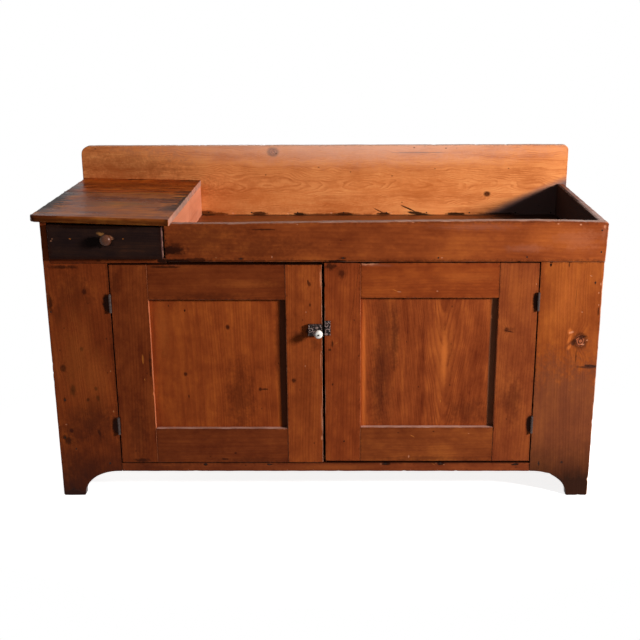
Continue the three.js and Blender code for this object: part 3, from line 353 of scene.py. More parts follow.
def iron(name, look):
    # Iron hinges and latch, cast or rolled and left to darken: a grey black skin, brown rust in the pits. A
    # cast face has rosettes: height = sine of the distance from the middles of a cell pattern; their crests
    # are rubbed to grey.
    made, add = newMaterial(name)
    here = add("TexCoord", out="Object")
    coarse = add("TexNoise", here, {"Scale": 1 / (7 * mm), "Detail": 5, "Roughness": 0.62})
    pits = add("TexNoise", here, {"Scale": 1 / (1.1 * mm), "Detail": 3})
    rust = add("MapRange SMOOTHSTEP", coarse, 0.5, 0.66, 0, look["rust"])
    skin = add("ValToRGB", pits, stops=[(0.25, look["dark"]), (0.75, look["light"])])
    colour = add("Mix RGBA", rust, {6: skin, 7: linear("#3a1a0e")}, out=2)
    height = add("Math MULTIPLY_ADD", coarse, 2.0, pits)
    if "rosettes" in look:
        cells = add("TexVoronoi", here, {"Scale": 1 / (look["rosettes"] * mm), "Randomness": 0.75})
        crest = add("Math SINE", add("Math MULTIPLY", cells, 15))
        rubbed = add("MapRange SMOOTHSTEP", crest, 0.1, 0.9, 0, 0.8)
        colour = add("Mix RGBA", rubbed, {6: colour, 7: linear("#8c7670")}, out=2)
        height = add("Math MULTIPLY_ADD", crest, 4.0, height)
    add("OutputMaterial", add("BsdfPrincipled", {
        "Base Color": colour, "Metallic": add("MapRange", rust, 0, 1, 0.85, 0.1),
        "Roughness": add("MapRange", coarse, 0.3, 0.7, look["roughness"], look["roughness"] + 0.25),
        "Normal": add("Bump", {"Height": height, "Strength": 0.8, "Distance": 0.16 * mm}),
    }), out=None)
    return made


def glazedPorcelain(name):
    # Fired porcelain with a clear glaze: cold white, a sharp highlight, a little brown dirt in the crazing
    made, add = newMaterial(name)
    here = add("TexCoord", out="Object")
    lines = add("TexVoronoi", here, {"Scale": 1 / (3.4 * mm)}, feature="DISTANCE_TO_EDGE", out="Distance")
    crazing = add("MapRange", lines, 0.0, 0.035, 0.3, 0)
    cloud = add("TexNoise", here, {"Scale": 1 / (9 * mm), "Detail": 2})
    body = add("ValToRGB", cloud, stops=[(0.3, "#dedbd0"), (0.7, "#f3f1ea")])
    colour = add("Mix RGBA", crazing, {6: body, 7: linear("#8a7a64")}, out=2)
    roughness = add("MapRange", cloud, 0.2, 0.8, 0.08, 0.2)
    add("OutputMaterial", add("BsdfPrincipled", {
        "Base Color": colour, "Roughness": roughness, "IOR": 1.5, "Coat Weight": 0.5, "Coat Roughness": 0.05,
    }), out=None)
    return made


hingeIron = iron("wroughtIronHinge", {"dark": "#1f1816", "light": "#5c4e4a", "rust": 0.5, "roughness": 0.46})
latchIron = iron("castIronLatch", {"dark": "#0e0a09", "light": "#2c2422", "rust": 0.6, "roughness": 0.4,
                                   "rosettes": 11})
spindleIron = iron("turnedIronSpindle", {"dark": "#0c0908", "light": "#1c1614", "rust": 0.3,
                                         "roughness": 0.6})
nailIron = iron("cutNailIron", {"dark": "#0e0a09", "light": "#2c211c", "rust": 0.6, "roughness": 0.6})
porcelain = glazedPorcelain("glazedPorcelain")
print("iron and porcelain ready")


# Meshes

def reach(node):
    low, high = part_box(node)
    return low.x, high.x, low.y, high.y, low.z, high.z


def cadPoints(node):
    # the CAD node's vertices in metres
    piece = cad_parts[node]
    flat = np.empty(3 * len(piece.data.vertices))
    piece.data.vertices.foreach_get("co", flat)
    place = piece.matrix_world
    return flat.reshape(-1, 3) @ np.array(place.to_3x3()).T + np.array(place.translation)


creaseAngle = 38  # degrees between two faces, above which their edge stays sharp
fitGap = 0.3 * mm  # between a board and what is let into it


def newMesh(name, points, faces, material, angle=creaseAngle):
    mesh = bpy.data.meshes.new(name)
    mesh.from_pydata(points.tolist() if isinstance(points, np.ndarray) else points, [], faces)
    mesh.polygons.foreach_set("use_smooth", np.ones(len(mesh.polygons), bool))
    mesh.update()
    mesh.set_sharp_from_angle(angle=math.radians(angle))
    mesh.materials.append(material)
    piece = bpy.data.objects.new(name, mesh)
    scene.collection.objects.link(piece)
    return piece


def weighNormals(piece):
    weigh = piece.modifiers.new("evenShading", "WEIGHTED_NORMAL")
    weigh.keep_sharp = True
    weigh.weight = 50


def tubeFaces(rows, count):
    # quads between the rings of a closed tube, row after row, and one face over each end
    grid = np.arange(rows * count).reshape(rows, count)
    onward = np.roll(grid, -1, axis=1)
    quads = np.stack([grid[:-1], onward[:-1], onward[1:], grid[1:]], axis=-1).reshape(-1, 4)
    return quads.tolist() + [grid[0][::-1].tolist(), grid[-1].tolist()]


def ripple(run, total, length, rng):
    # smooth closed noise between -1 and 1: three waves with whole numbers of turns round the outline
    turns = [max(1, round(total / length * f)) for f in (1, 1.63, 2.71)]
    waves = [np.sin(2 * np.pi * (t * run / total + rng.random())) for t in turns]
    return (waves[0] + 0.7 * waves[1] + 0.5 * waves[2]) / 2.2


def box2d(u0, u1, v0, v1, worn, rims=(-0.8, -0.8, -0.8, -0.8)):
    # a rectangle's four sides, anticlockwise from the lower one: each has its line, the radius of its worn
    # edge in millimetres, and how dirty (to -1) or pale (to 1) it is; pale stands for rubbed wear and for a
    # painted highlight
    corners = [(u0, v0), (u1, v0), (u1, v1), (u0, v1)]
    return [((corners[k], corners[(k + 1) % 4]), worn[k], rims[k]) for k in range(4)]


def wornBoard(name, sides, near, far, plane, wear, material):
    # A board between its two faces. Its outline is walked at even steps; at each step the section goes from
    # the near face over a quarter round, straight through the edge, and over a quarter round to the far
    # face: inset = r (1 - sin t), depth = r (1 - cos t). The radius r and the outline itself wander with
    # seeded noise, and nicks dent it with bell curves, so the edges look planed by hand and worn.
    rng = np.random.default_rng(wear["seed"])
    step, turnAt = wear.get("step", 4) * mm, wear.get("corner", 2.4) * mm
    sides = [(np.array(line, float), radius, rim) for line, radius, rim in sides]
    samples = []
    for line, radius, rim in sides:
        gaps = np.hypot(*np.diff(line, axis=0).T)
        run = np.concatenate([[0], np.cumsum(gaps)])
        trim = min(turnAt, run[-1] * 0.3)
        at = np.linspace(trim, run[-1] - trim, max(2, int(run[-1] / step)))
        xy = np.column_stack([np.interp(at, run, line[:, 0]), np.interp(at, run, line[:, 1])])
        away = np.minimum(at, run[-1] - at)
        samples.append((xy, np.full(len(at), radius * mm), away, np.full(len(at), rim)))
    points, radii, fromCorner, rims = [], [], [], []
    for k, (xy, radius, away, rim) in enumerate(samples):
        before, corner = samples[k - 1][0][-1], sides[k][0][0]
        t = np.array([0.25, 0.5, 0.75])[:, None]
        points += [(1 - t) ** 2 * before + 2 * t * (1 - t) * corner + t ** 2 * xy[0], xy]
        radii += [np.full(3, min(samples[k - 1][1][-1], radius[0])), radius]
        fromCorner += [np.zeros(3), away]
        rims += [np.linspace(samples[k - 1][3][-1], rim[0], 5)[1:-1], rim]
    points, radii, fromCorner, rims = [np.concatenate(part) for part in (points, radii, fromCorner, rims)]
    after = np.roll(points, -1, axis=0)
    total = np.hypot(*(after - points).T).sum()
    run = np.concatenate([[0], np.cumsum(np.hypot(*(after - points).T))[:-1]])
    tangent = after - np.roll(points, 1, axis=0)
    tangent /= np.hypot(*tangent.T)[:, None]
    turned = np.sign((points[:, 0] * after[:, 1] - after[:, 0] * points[:, 1]).sum())
    outward = turned * np.column_stack([tangent[:, 1], -tangent[:, 0]])

    wander = (ripple(run, total, 0.19, rng) - 1) * wear.get("wander", 0.22) * mm
    dents = np.zeros(len(run))
    for _ in range(int(total * wear.get("nicks", 5))):
        apart = np.abs((run - rng.random() * total + total / 2) % total - total / 2)
        deep = rng.uniform(0.15, 1) ** 2 * wear.get("nickDepth", 1.1)
        dents += deep * np.exp(-(apart / rng.uniform(2, 7) / mm) ** 2)
    for place, width, deep in wear.get("chips", []):
        apart = np.hypot(*(points - np.array(place) * mm).T)
        dents += deep * np.exp(-(apart / (width * mm)) ** 2)
    room = 0.8 * turnAt + 0.6 * fromCorner
    inset = np.minimum(dents * mm - wander, 0.5 * room)
    outline = points - outward * inset[:, None]
    radii = radii * (1 + 0.3 * ripple(run, total, 0.07, rng)) + dents * 0.5 * mm
    radii = np.minimum(np.minimum(radii, room - inset), 0.46 * abs(far - near))

    t = np.linspace(0, np.pi / 2, 5)
    into = math.copysign(1, far - near)
    rings = [(radii * (1 - np.sin(a)), near + into * radii * (1 - np.cos(a)), a) for a in t]
    rings += [(radii * (1 - np.sin(a)), far - into * radii * (1 - np.cos(a)), a) for a in t[::-1]]
    layers = [np.column_stack([outline - outward * back[:, None], depth]) for back, depth, _ in rings]
    uvd = np.concatenate(layers)
    order = {"xz": (0, 2, 1), "yz": (2, 0, 1), "xy": (0, 1, 2)}[plane]
    faces = tubeFaces(len(rings), len(run))
    if turned * into * (-1 if plane == "xz" else 1) < 0:
        faces = [face[::-1] for face in faces]
    piece = newMesh(name, uvd[:, order], faces, material)
    for key, values in (("arris", [np.full(len(run), np.sin(2 * a)) for _, _, a in rings]),
                        ("rim", [rims * np.sin(a) ** 2 for _, _, a in rings])):
        kept = piece.data.attributes.new(key, "FLOAT", "POINT")
        kept.data.foreach_set("value", np.concatenate(values).astype(np.float32))
    return piece


def cutAway(piece, boxes):
    # housings and mortises: boxes given as low x, high x, low y, high y, low z, high z are cut from a board
    corners = np.array([(x, y, z) for x in (0, 1) for y in (0, 1) for z in (0, 1)])
    faces = [(0, 1, 3, 2), (4, 6, 7, 5), (0, 4, 5, 1), (2, 3, 7, 6), (0, 2, 6, 4), (1, 5, 7, 3)]
    points, allFaces = [], []
    for k, (x0, x1, y0, y1, z0, z1) in enumerate(boxes):
        low, high = np.array((x0, y0, z0)), np.array((x1, y1, z1))
        points += (low + corners * (high - low)).tolist()
        allFaces += [tuple(8 * k + i for i in face) for face in faces]
    cutter = newMesh("cutter", points, allFaces, piece.data.materials[0])
    cut = piece.modifiers.new("housing", "BOOLEAN")
    cut.object, cut.operation, cut.solver = cutter, "DIFFERENCE", "EXACT"
    bpy.context.view_layer.update()
    result = bpy.data.meshes.new_from_object(piece.evaluated_get(bpy.context.evaluated_depsgraph_get()))
    piece.modifiers.remove(cut)
    piece.data = result
    result.name = piece.name
    bpy.data.objects.remove(cutter)
    result.set_sharp_from_angle(angle=math.radians(creaseAngle))


def settle(piece, body, slot, *replaced):
    weighNormals(piece)
    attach(piece, body)
    if replaced:
        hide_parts(*replaced)
    return piece


def easeNode(node, material, width=0.8, segments=2):
    # a CAD piece kept as it is: its triangles are joined by modifiers, its edges eased, its finish set
    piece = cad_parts[node]
    piece.data.polygons.foreach_set("use_smooth", np.ones(len(piece.data.polygons), bool))
    weld = piece.modifiers.new("joinedFaces", "WELD")
    weld.merge_threshold = 0.00001
    ease = piece.modifiers.new("easedEdges", "BEVEL")
    ease.width, ease.segments, ease.limit_method = width * mm, segments, "ANGLE"
    ease.angle_limit = math.radians(32)
    ease.harden_normals = True
    weighNormals(piece)
    for place in piece.material_slots:
        place.material = material


def faceBoard(node, wood, sides, wear, body="case", plane="xz", near=None, far=None, cuts=()):
    # a worn board in place of its CAD node
    x0, x1, y0, y1, z0, z1 = reach(node)
    spans = {"xz": (y0, y1), "yz": (x0, x1), "xy": (z1, z0)}[plane]
    near = spans[0] if near is None else near
    far = spans[1] if far is None else far
    # the grime's border is the board's own, unless the piece gives one
    ends = {"x": (x0 / mm, x1 / mm), "y": (y0 / mm, y1 / mm), "z": (z0 / mm, z1 / mm)}
    border = (*ends[wood["grain"][0]], *ends[wood["grain"][1]])
    material = pine(node + "Pine", {"border": border, **wood})
    piece = wornBoard(node + ".board", sides, near, far, plane, wear, material)
    if cuts:
        cutAway(piece, cuts)
    return settle(piece, body, finishes[wood["finish"]]["slot"], node)


def houseLeaf(node):
    # the room of a hinge leaf, for cutting its housing
    x0, x1, y0, y1, z0, z1 = reach(node)
    return (x0 - fitGap, x1 + fitGap, y0 - 3 * mm, y1 + fitGap, z0 - fitGap, z1 + fitGap)


# Case front

frontFace = reach("stile_left")[2]
# what the boards of the front share, with the grain upright or level
upright = {"finish": "shellac", "grain": "zxy", "face": frontFace / mm, "grime": 0.3, "grimeReach": 5,
           "knocks": 0.1}
lying = {**upright, "grain": "xzy"}
footShape = {"width": 64.5, "upright": 5, "curveShare": 0.91, "round": 4.5}  # in mm, but the curve's share


def footLine(edge, outer, arch, sign):
    # the sawn edge of a foot: up a little, then a quarter of an ellipse over to the level underside
    foot = outer + sign * footShape["width"] * mm
    long = footShape["curveShare"] * abs(edge - foot)
    t = np.linspace(0, np.pi / 2, 24)
    curve = np.column_stack([foot + sign * long * (1 - np.cos(t)),
                             footShape["upright"] * mm + (arch - footShape["upright"] * mm) * np.sin(t)])
    r = footShape["round"] * mm
    turn = np.linspace(0, np.pi / 2, 6)[:, None]
    rounded = np.array([(foot - sign * r, r)]) + r * np.hstack([sign * np.sin(turn), -np.cos(turn)])
    return foot - sign * r, np.vstack([rounded, curve, [(edge, arch)]])


def outerFoot(outer, high, sign):
    # the outer edge of a foot's board, from its top down round the lower corner
    r = footShape["round"] * mm
    turn = np.linspace(0, np.pi / 2, 6)[:, None]
    rounded = np.array([(outer + sign * r, r)]) - r * np.hstack([sign * np.cos(turn), np.sin(turn)])
    return np.vstack([[(outer, high)], rounded])


def frontStiles():
    x0, x1, _, _, z0, z1 = reach("stile_left")
    arch = reach("bottom_rail")[4]
    railSeat = reach("drawer_rail")[4] - fitGap
    strip = reach("drawer_rail")[0] - fitGap
    foot, curve = footLine(x1, x0, arch, 1)
    sides = [
        ([(x0 + footShape["round"] * mm, z0), (foot, z0)], 1.6, -0.9),
        (curve, 1.6, -0.5),
        ([(x1, arch), (x1, railSeat)], 1.1, -0.9),
        ([(x1, railSeat), (strip, railSeat)], 0.4, -0.9),
        ([(strip, railSeat), (strip, z1)], 0.9, -0.8),
        ([(strip, z1), (x0, z1)], 0.4, -0.8),
        (outerFoot(x0, z1, 1), 2.0, 0.0),
    ]
    wood = {
        **upright, "seed": 3, "tint": (0.92, 0.82, 0.82), "pith": (-900, 160), "ringWidth": 9, "fibre": 0.05,
        "level": 0.5, "taper": 0.03, "grime": 0.4, "grimeReach": 9, "knocks": 0.16, "smoke": (14, 245, 0.88),
        "border": (0, 813, x0 / mm, x1 / mm),
        "knots": [(618, -646, 5, 0.7), (395, -722, 6.5, 0.9), (452, -666, 4, 0.7), (205, -714, 4.5, 0.8)],
        "marks": {
            "black": [(4, -722, 16, 40), (102, -611, 4, 3)],
            "shade": [(90, -700, 90, 90), (200, -700, 70, 50), (560, -720, 60, 26), (620, -680, 90, 80),
                      (250, -650, 80, 90)],
            # painted shadows of the hinge knuckles, falling to their left
            "soot": [(584, -585, 34, 15), (220, -585, 34, 15)],
            "dark": [(334, -635, 9, 7), (300, -660, 8, 7, 20), (305, -631, 12, 6), (330, -700, 26, 10),
                     (175, -725, 18, 14), (299, -725, 10, 6), (200, -636, 12, 6, -20), (183, -734, 14, 10),
                     (148, -705, 5, 3), (590, -742, 40, 10), (688, -700, 8, 60)],
            "pale": [(612, -749, 4, 3), (224, -727, 3, 4)],
            "glow": [(420, -680, 190, 80), (380, -640, 120, 60)],
            "dusk": [(225, -665, 80, 130)],
        },
    }
    cuts = [houseLeaf(f"hinge_left_{place}_case_leaf") for place in ("lower", "upper")]
    wear = {"seed": 11, "nicks": 5, "nickDepth": 1.4}
    faceBoard("stile_left", wood, sides, wear, cuts=cuts)

    x0, x1, _, _, z0, z1 = reach("stile_right")
    foot, curve = footLine(x0, x1, arch, -1)
    sides = [
        ([(foot, z0), (x1 - footShape["round"] * mm, z0)], 1.6, -0.9),
        # the case's right edge is pale, as rubbed wear and as a painted highlight where it catches the lamp
        (outerFoot(x1, z1, -1)[::-1], 3.2, 0.55),
        ([(x1, z1), (x0, z1)], 0.5, -0.6),
        ([(x0, z1), (x0, arch)], 1.1, -0.9),
        (curve[::-1], 1.6, -0.5),
    ]
    wood = {
        **upright, "seed": 8, "tint": (0.9, 0.9, 0.8), "pith": (470, 120), "ringWidth": 9.5, "fibre": 0.055,
        "level": 0.62, "taper": 0.03, "grimeReach": 6, "knocks": 0.12,
        "smoke": (52, 215, 0.97), "smokeColour": "#1c0e08", "rubAndHighlightColour": "#dca684",
        "knots": [(476, 720, 14, 0.95)],
        "marks": {
            "glow": [(600, 680, 110, 70)],
            "amber": [(503, 690, 14, 9), (482, 690, 22, 6, 20), (457, 690, 12, 7, 30)],
            "film": [(60, 690, 420, 400)],
            "pale": [(478, 739, 3, 3), (501, 694, 4, 8.5, -20), (466, 728, 3, 6), (663, 738, 2, 6, 20),
                     (615, 762, 4, 2), (640, 766, 5, 2), (580, 764, 3, 2), (560, 720, 2, 3)],
            "dark": [(488, 726, 6, 18, -8), (472, 702, 13, 9), (398, 738, 5, 36, 3), (430, 711, 30, 2.4),
                     (106, 691, 6, 6), (694, 676, 8, 3), (644, 750, 7, 3), (560, 764, 16, 3),
                     (600, 700, 60, 1.2, 1)],
            "black": [(401, 754, 5.5, 24, 5), (102, 625, 9, 3), (694, 626, 6, 4)],
        },
    }
    cuts = [houseLeaf(f"hinge_right_{place}_case_leaf") for place in ("lower", "upper")]
    wear = {"seed": 12, "nicks": 9, "nickDepth": 1.6, "chips": [((626, 702), 4, 2.2), ((676, 702), 3, 2)]}
    faceBoard("stile_right", wood, sides, wear, cuts=cuts)


def frontRails():
    x0, x1, _, _, z0, z1 = reach("bottom_rail")
    wood = {
        **lying, "seed": 15, "tint": (0.86, 0.86, 1.05), "pith": (300, 90), "level": 0.5,
        "grime": 0.45, "grimeReach": 7, "knocks": 0.2,
        "marks": {
            "black": [(-335, 99, 9, 5, 10), (-152, 99, 12, 3.5, -5), (183, 101, 15, 6), (342, 102, 11, 6),
                      (557, 99, 13, 4, 5)],
            "pale": [(170, 100, 5, 2), (330, 104, 4, 2, 40), (352, 98, 3, 1.5)],
            "scratch": [(320, 101, 10, 1.2, -35)],
            "shade": [(-480, 90, 120, 20)],
            "glow": [(60, 90, 160, 14)],
        },
    }
    sides = box2d(x0, x1, z0, z1, (1.8, 0.5, 0.9, 0.5), (-0.5, -0.9, -0.7, -0.9))
    faceBoard("bottom_rail", wood, sides, {"seed": 21, "nicks": 9, "nickDepth": 1.5})

    x0, x1, _, _, z0, z1 = reach("apron")
    closer, endRound = 4.5 * mm, 7 * mm  # its left end stands close to the drawer front; its right corner
    rubbedAndLitFrom = 200 * mm  # where its top begins to be painted pale, as rubbed wear and as a painted highlight
    crestRise, flat, apart = 90 * mm, 0.2 * mm, 0.05 * mm
    x0 -= closer
    # its top edge and its flared right end are read from the CAD's own front face
    points = cadPoints("apron")
    points = points[np.abs(points[:, 1] - points[:, 1].min()) < flat]
    crest = points[points[:, 2] > z0 + crestRise]
    crest = crest[np.argsort(crest[:, 0])][::-1][:, [0, 2]]
    crest = crest[np.append(True, -np.diff(crest[:, 0]) > apart)]
    lowRight = points[points[:, 2] < z0 + flat, 0].max()
    turn = np.linspace(0, np.pi / 2, 6)[:, None]
    rounded = crest[0] + endRound * (np.hstack([np.cos(turn), np.sin(turn)]) - 1)
    crest = np.vstack([rounded, crest[crest[:, 0] < crest[0, 0] - endRound]])
    crest[-1, 0] = x0
    pale = crest[:, 0] > rubbedAndLitFrom
    wood = {
        **lying, "seed": 27, "tint": (0.95, 0.93, 0.94), "rubAndHighlightColour": "#d8a890", "pith": (640, 110),
        "ringWidth": 8, "level": 0.55, "taper": 0.015, "waver": (0, 12, 12), "grime": 0.45, "grimeReach": 10,
        "knocks": 0.16, "border": (x0 / mm, x1 / mm, z0 / mm, 815),
        "marks": {
            "dark": [(62, 713, 13, 5), (-214, 711, 12, 5), (-392, 736, 44, 22), (-340, 708, 60, 8),
                     (-150, 792, 40, 3)],
            "soot": [(-410, 737, 24, 12), (-395, 703, 58, 11)],
            "black": [(-400, 733, 30, 11, 8), (40, 705, 40, 3)],
            "shade": [(-320, 760, 220, 90), (-180, 740, 200, 60)],
            "glow": [(650, 765, 150, 50)],
            "pale": [(250, 812, 5, 2), (640, 808, 4, 2.5), (700, 806, 4, 3), (765, 800, 6, 7),
                     (-60, 806, 3, 2), (330, 714, 4, 2), (-130, 716, 2, 4)],
            "bloom": [(700, 765, 90, 40), (420, 800, 160, 14), (560, 740, 90, 18), (764, 790, 12, 34)],
        },
    }
    # the right end and the top's right part are pale, as rubbed wear and as a painted highlight
    sides = [
        ([(x0, z0), (lowRight, z0)], 1.1, -0.5),
        ([(lowRight, z0), crest[0]], 3.2, 0.6),
        (crest[pale], 2.3, 0.45),
        (np.vstack([crest[pale][-1:], crest[~pale]]), 2.3, 0.2),
        ([crest[-1], (x0, z0)], 1.2, -0.6),
    ]
    wear = {"seed": 22, "nicks": 6, "nickDepth": 1.3, "chips": [((-419.5, 706), 7, 2), ((773, 805), 7, 1.5)]}
    faceBoard("apron", wood, sides, wear)

    x0, x1, _, _, z0, z1 = reach("drawer_rail")
    wood = {
        **lying, "seed": 29, "pith": (600, 60), "level": 0.4, "grime": 0.5,
        "marks": {"dark": [(-600, 706, 12, 5)], "black": [(-425, 706, 20, 9)]},
    }
    faceBoard("drawer_rail", wood, box2d(x0, x1, z0, z1, (0.8, 0.8, 1.6, 0.4), (-0.8, -0.6, 0.2, -0.8)),
              {"seed": 23, "nicks": 8})


frontStiles()
frontRails()
print("case front ready")


# Side panels, splash board and worktop

def sidePanels():
    arch = reach("bottom_rail")[4]
    foot = {"length": 92, "upright": 5, "curve": 96}
    palestWithin, paleWithin = 120 * mm, 260 * mm  # from the front: where the top edge turns less pale, and hardly pale; this pale is rubbed wear, and on the right panel also a painted highlight
    t = np.linspace(0, np.pi / 2, 24)
    for node, seed, level in (("side_panel_left", 31, 0.5), ("side_panel_right", 32, 0.6)):
        x0, x1, y0, y1, _, z1 = reach(node)
        left = node.endswith("left")
        a, b = y0 + foot["length"] * mm, y1 - foot["length"] * mm
        up = foot["upright"] * mm + (arch - foot["upright"] * mm) * np.sin(t)
        ahead = np.column_stack([a + foot["curve"] * mm * (1 - np.cos(t)), up])
        behind = np.column_stack([b - foot["curve"] * mm * (1 - np.cos(t)), up])[::-1]
        sides = [
            ([(y0, 0), (a, 0)], 2.4, -0.9),
            (np.vstack([[(a, 0)], ahead, behind, [(b, 0)]]), 1.4, -0.5),
            ([(b, 0), (y1, 0)], 2.4, -0.9),
            ([(y1, 0), (y1, z1)], 1.2, -0.3),
            ([(y1, z1), (y0 + paleWithin, z1)], 2.6, 0.05),
            ([(y0 + paleWithin, z1), (y0 + palestWithin, z1)], 2.6, 0.1 if left else 0.3),
            ([(y0 + palestWithin, z1), (y0, z1)], 2.6, 0.1 if left else 0.6),
            ([(y0, z1), (y0, 0)], 0.6, -0.8),
        ]
        outer = x0 if left else x1
        wood = {
            "finish": "shellac", "grain": "zyx", "face": outer / mm, "seed": seed, "level": level,
            "pith": (-60, 90 if left else -90), "ringWidth": 6.5, "taper": 0.05, "waver": (0, 16, 10),
            "wave": (520, 140), "grime": 0.45, "grimeReach": 16, "knocks": 0.16,
            "rubAndHighlightColour": "#d0b0a4", "knots": [(560, 120, 9, 0.8), (300, -90, 6, 0.8), (700, -150, 5, 0.7)],
            "marks": {
                "black": [(10, -205, 22, 60), (10, 250, 22, 60)],
                "shade": [(120, 0, 90, 200)],
                "dark": [(104, -150, 7, 5), (104, 20, 7, 5), (104, 190, 7, 5), (701, -150, 7, 5),
                         (701, 20, 7, 5), (701, 190, 7, 5)],
                # painted shade on the right panel's inner face in the well, which faces away from the lamp
                "paintedShadow": [] if left else [(745, 20, 260, 1400, 0, -22)],
            },
        }
        wear = {"seed": seed, "nicks": 6, "nickDepth": 1.6, "corner": 2.8}
        faceBoard(node, wood, sides, wear, plane="yz", near=outer, far=x1 if left else x0)


def splashBoard():
    x0, x1, y0, _, z0, z1 = reach("splash_board")
    rise, rounds = 4 * mm, {"left": 28, "right": 18}
    t = np.linspace(0, np.pi / 2, 12)
    r, q = rounds["right"] * mm, rounds["left"] * mm
    rightRound = np.column_stack([x1 - r + r * np.cos(t), z1 - r + r * np.sin(t)])
    leftRound = np.column_stack([x0 + q - q * np.sin(t), z1 - rise - q + q * np.cos(t)])
    sides = [
        ([(x0, z0), (x1, z0)], 0.8, -0.6),
        (np.vstack([[(x1, z0)], rightRound, leftRound[:1]]), 2.2, 0.3),
        (np.vstack([leftRound, [(x0, z0)]]), 2.2, -0.55),
    ]
    wood = {
        "finish": "honey", "grain": "xzy", "face": y0 / mm, "seed": 44, "pith": (812, 34), "ringWidth": 3.6,
        "level": 0.51, "taper": 0.045, "waver": (0, 24, 18), "wave": (150, 60), "ring": 0.16, "fibre": 0.2,
        # the board names its own colour for the painted shadow in the well
        "band": 0.25, "tint": (0.97, 0.88, 0.74), "paintedShadow": "#6c5856",
        "grime": 0.3, "grimeReach": 6, "knocks": 0.09,
        "knots": [(-166, 916, 11, 1.0), (525, 780, 6.5, 1.0)],
        "marks": {
            "black": [(-386, 716, 34, 9), (-350, 714, 40, 5), (-216, 715, 30, 8), (-84, 714, 24, 6),
                      (62, 714, 36, 6), (190, 714, 26, 6), (175, 724, 24, 2.2, -28), (300, 716, 46, 6, -8),
                      (272, 731, 34, 3.2, -24), (424, 714, 40, 6)],
            "dark": [(560, 714, 90, 6), (20, 713, 160, 4), (300, 914, 120, 2.5), (250, 752, 4, 2)],
            "shade": [(-640, 860, 260, 90), (-560, 790, 260, 80)],
            "rust": [(-700, 820, 200, 110), (-300, 760, 200, 90), (-350, 740, 120, 80),
                     (-480, 780, 200, 60), (40, 740, 260, 40)],
            "glow": [(300, 800, 400, 70), (-160, 770, 200, 50)],
            # a painted pale halo of light along the board's top
            "haze": [(100, 950, 900, 100), (300, 944, 500, 44)],
            # painted shadow of the right side panel across the well's right end, with a straight rim
            "paintedShadow": [(735, 597, 900, 213, 24.8)],
            "pale": [(-120, 716, 4, 3), (20, 717, 5, 3), (-300, 716, 5, 3), (215, 717, 4, 3)],
        },
    }
    faceBoard("splash_board", wood, sides, {"seed": 41, "nicks": 5, "nickDepth": 1.6, "wander": 0.4})


topSlope = 0.02  # how far the worktop falls to the right, in metres on a metre


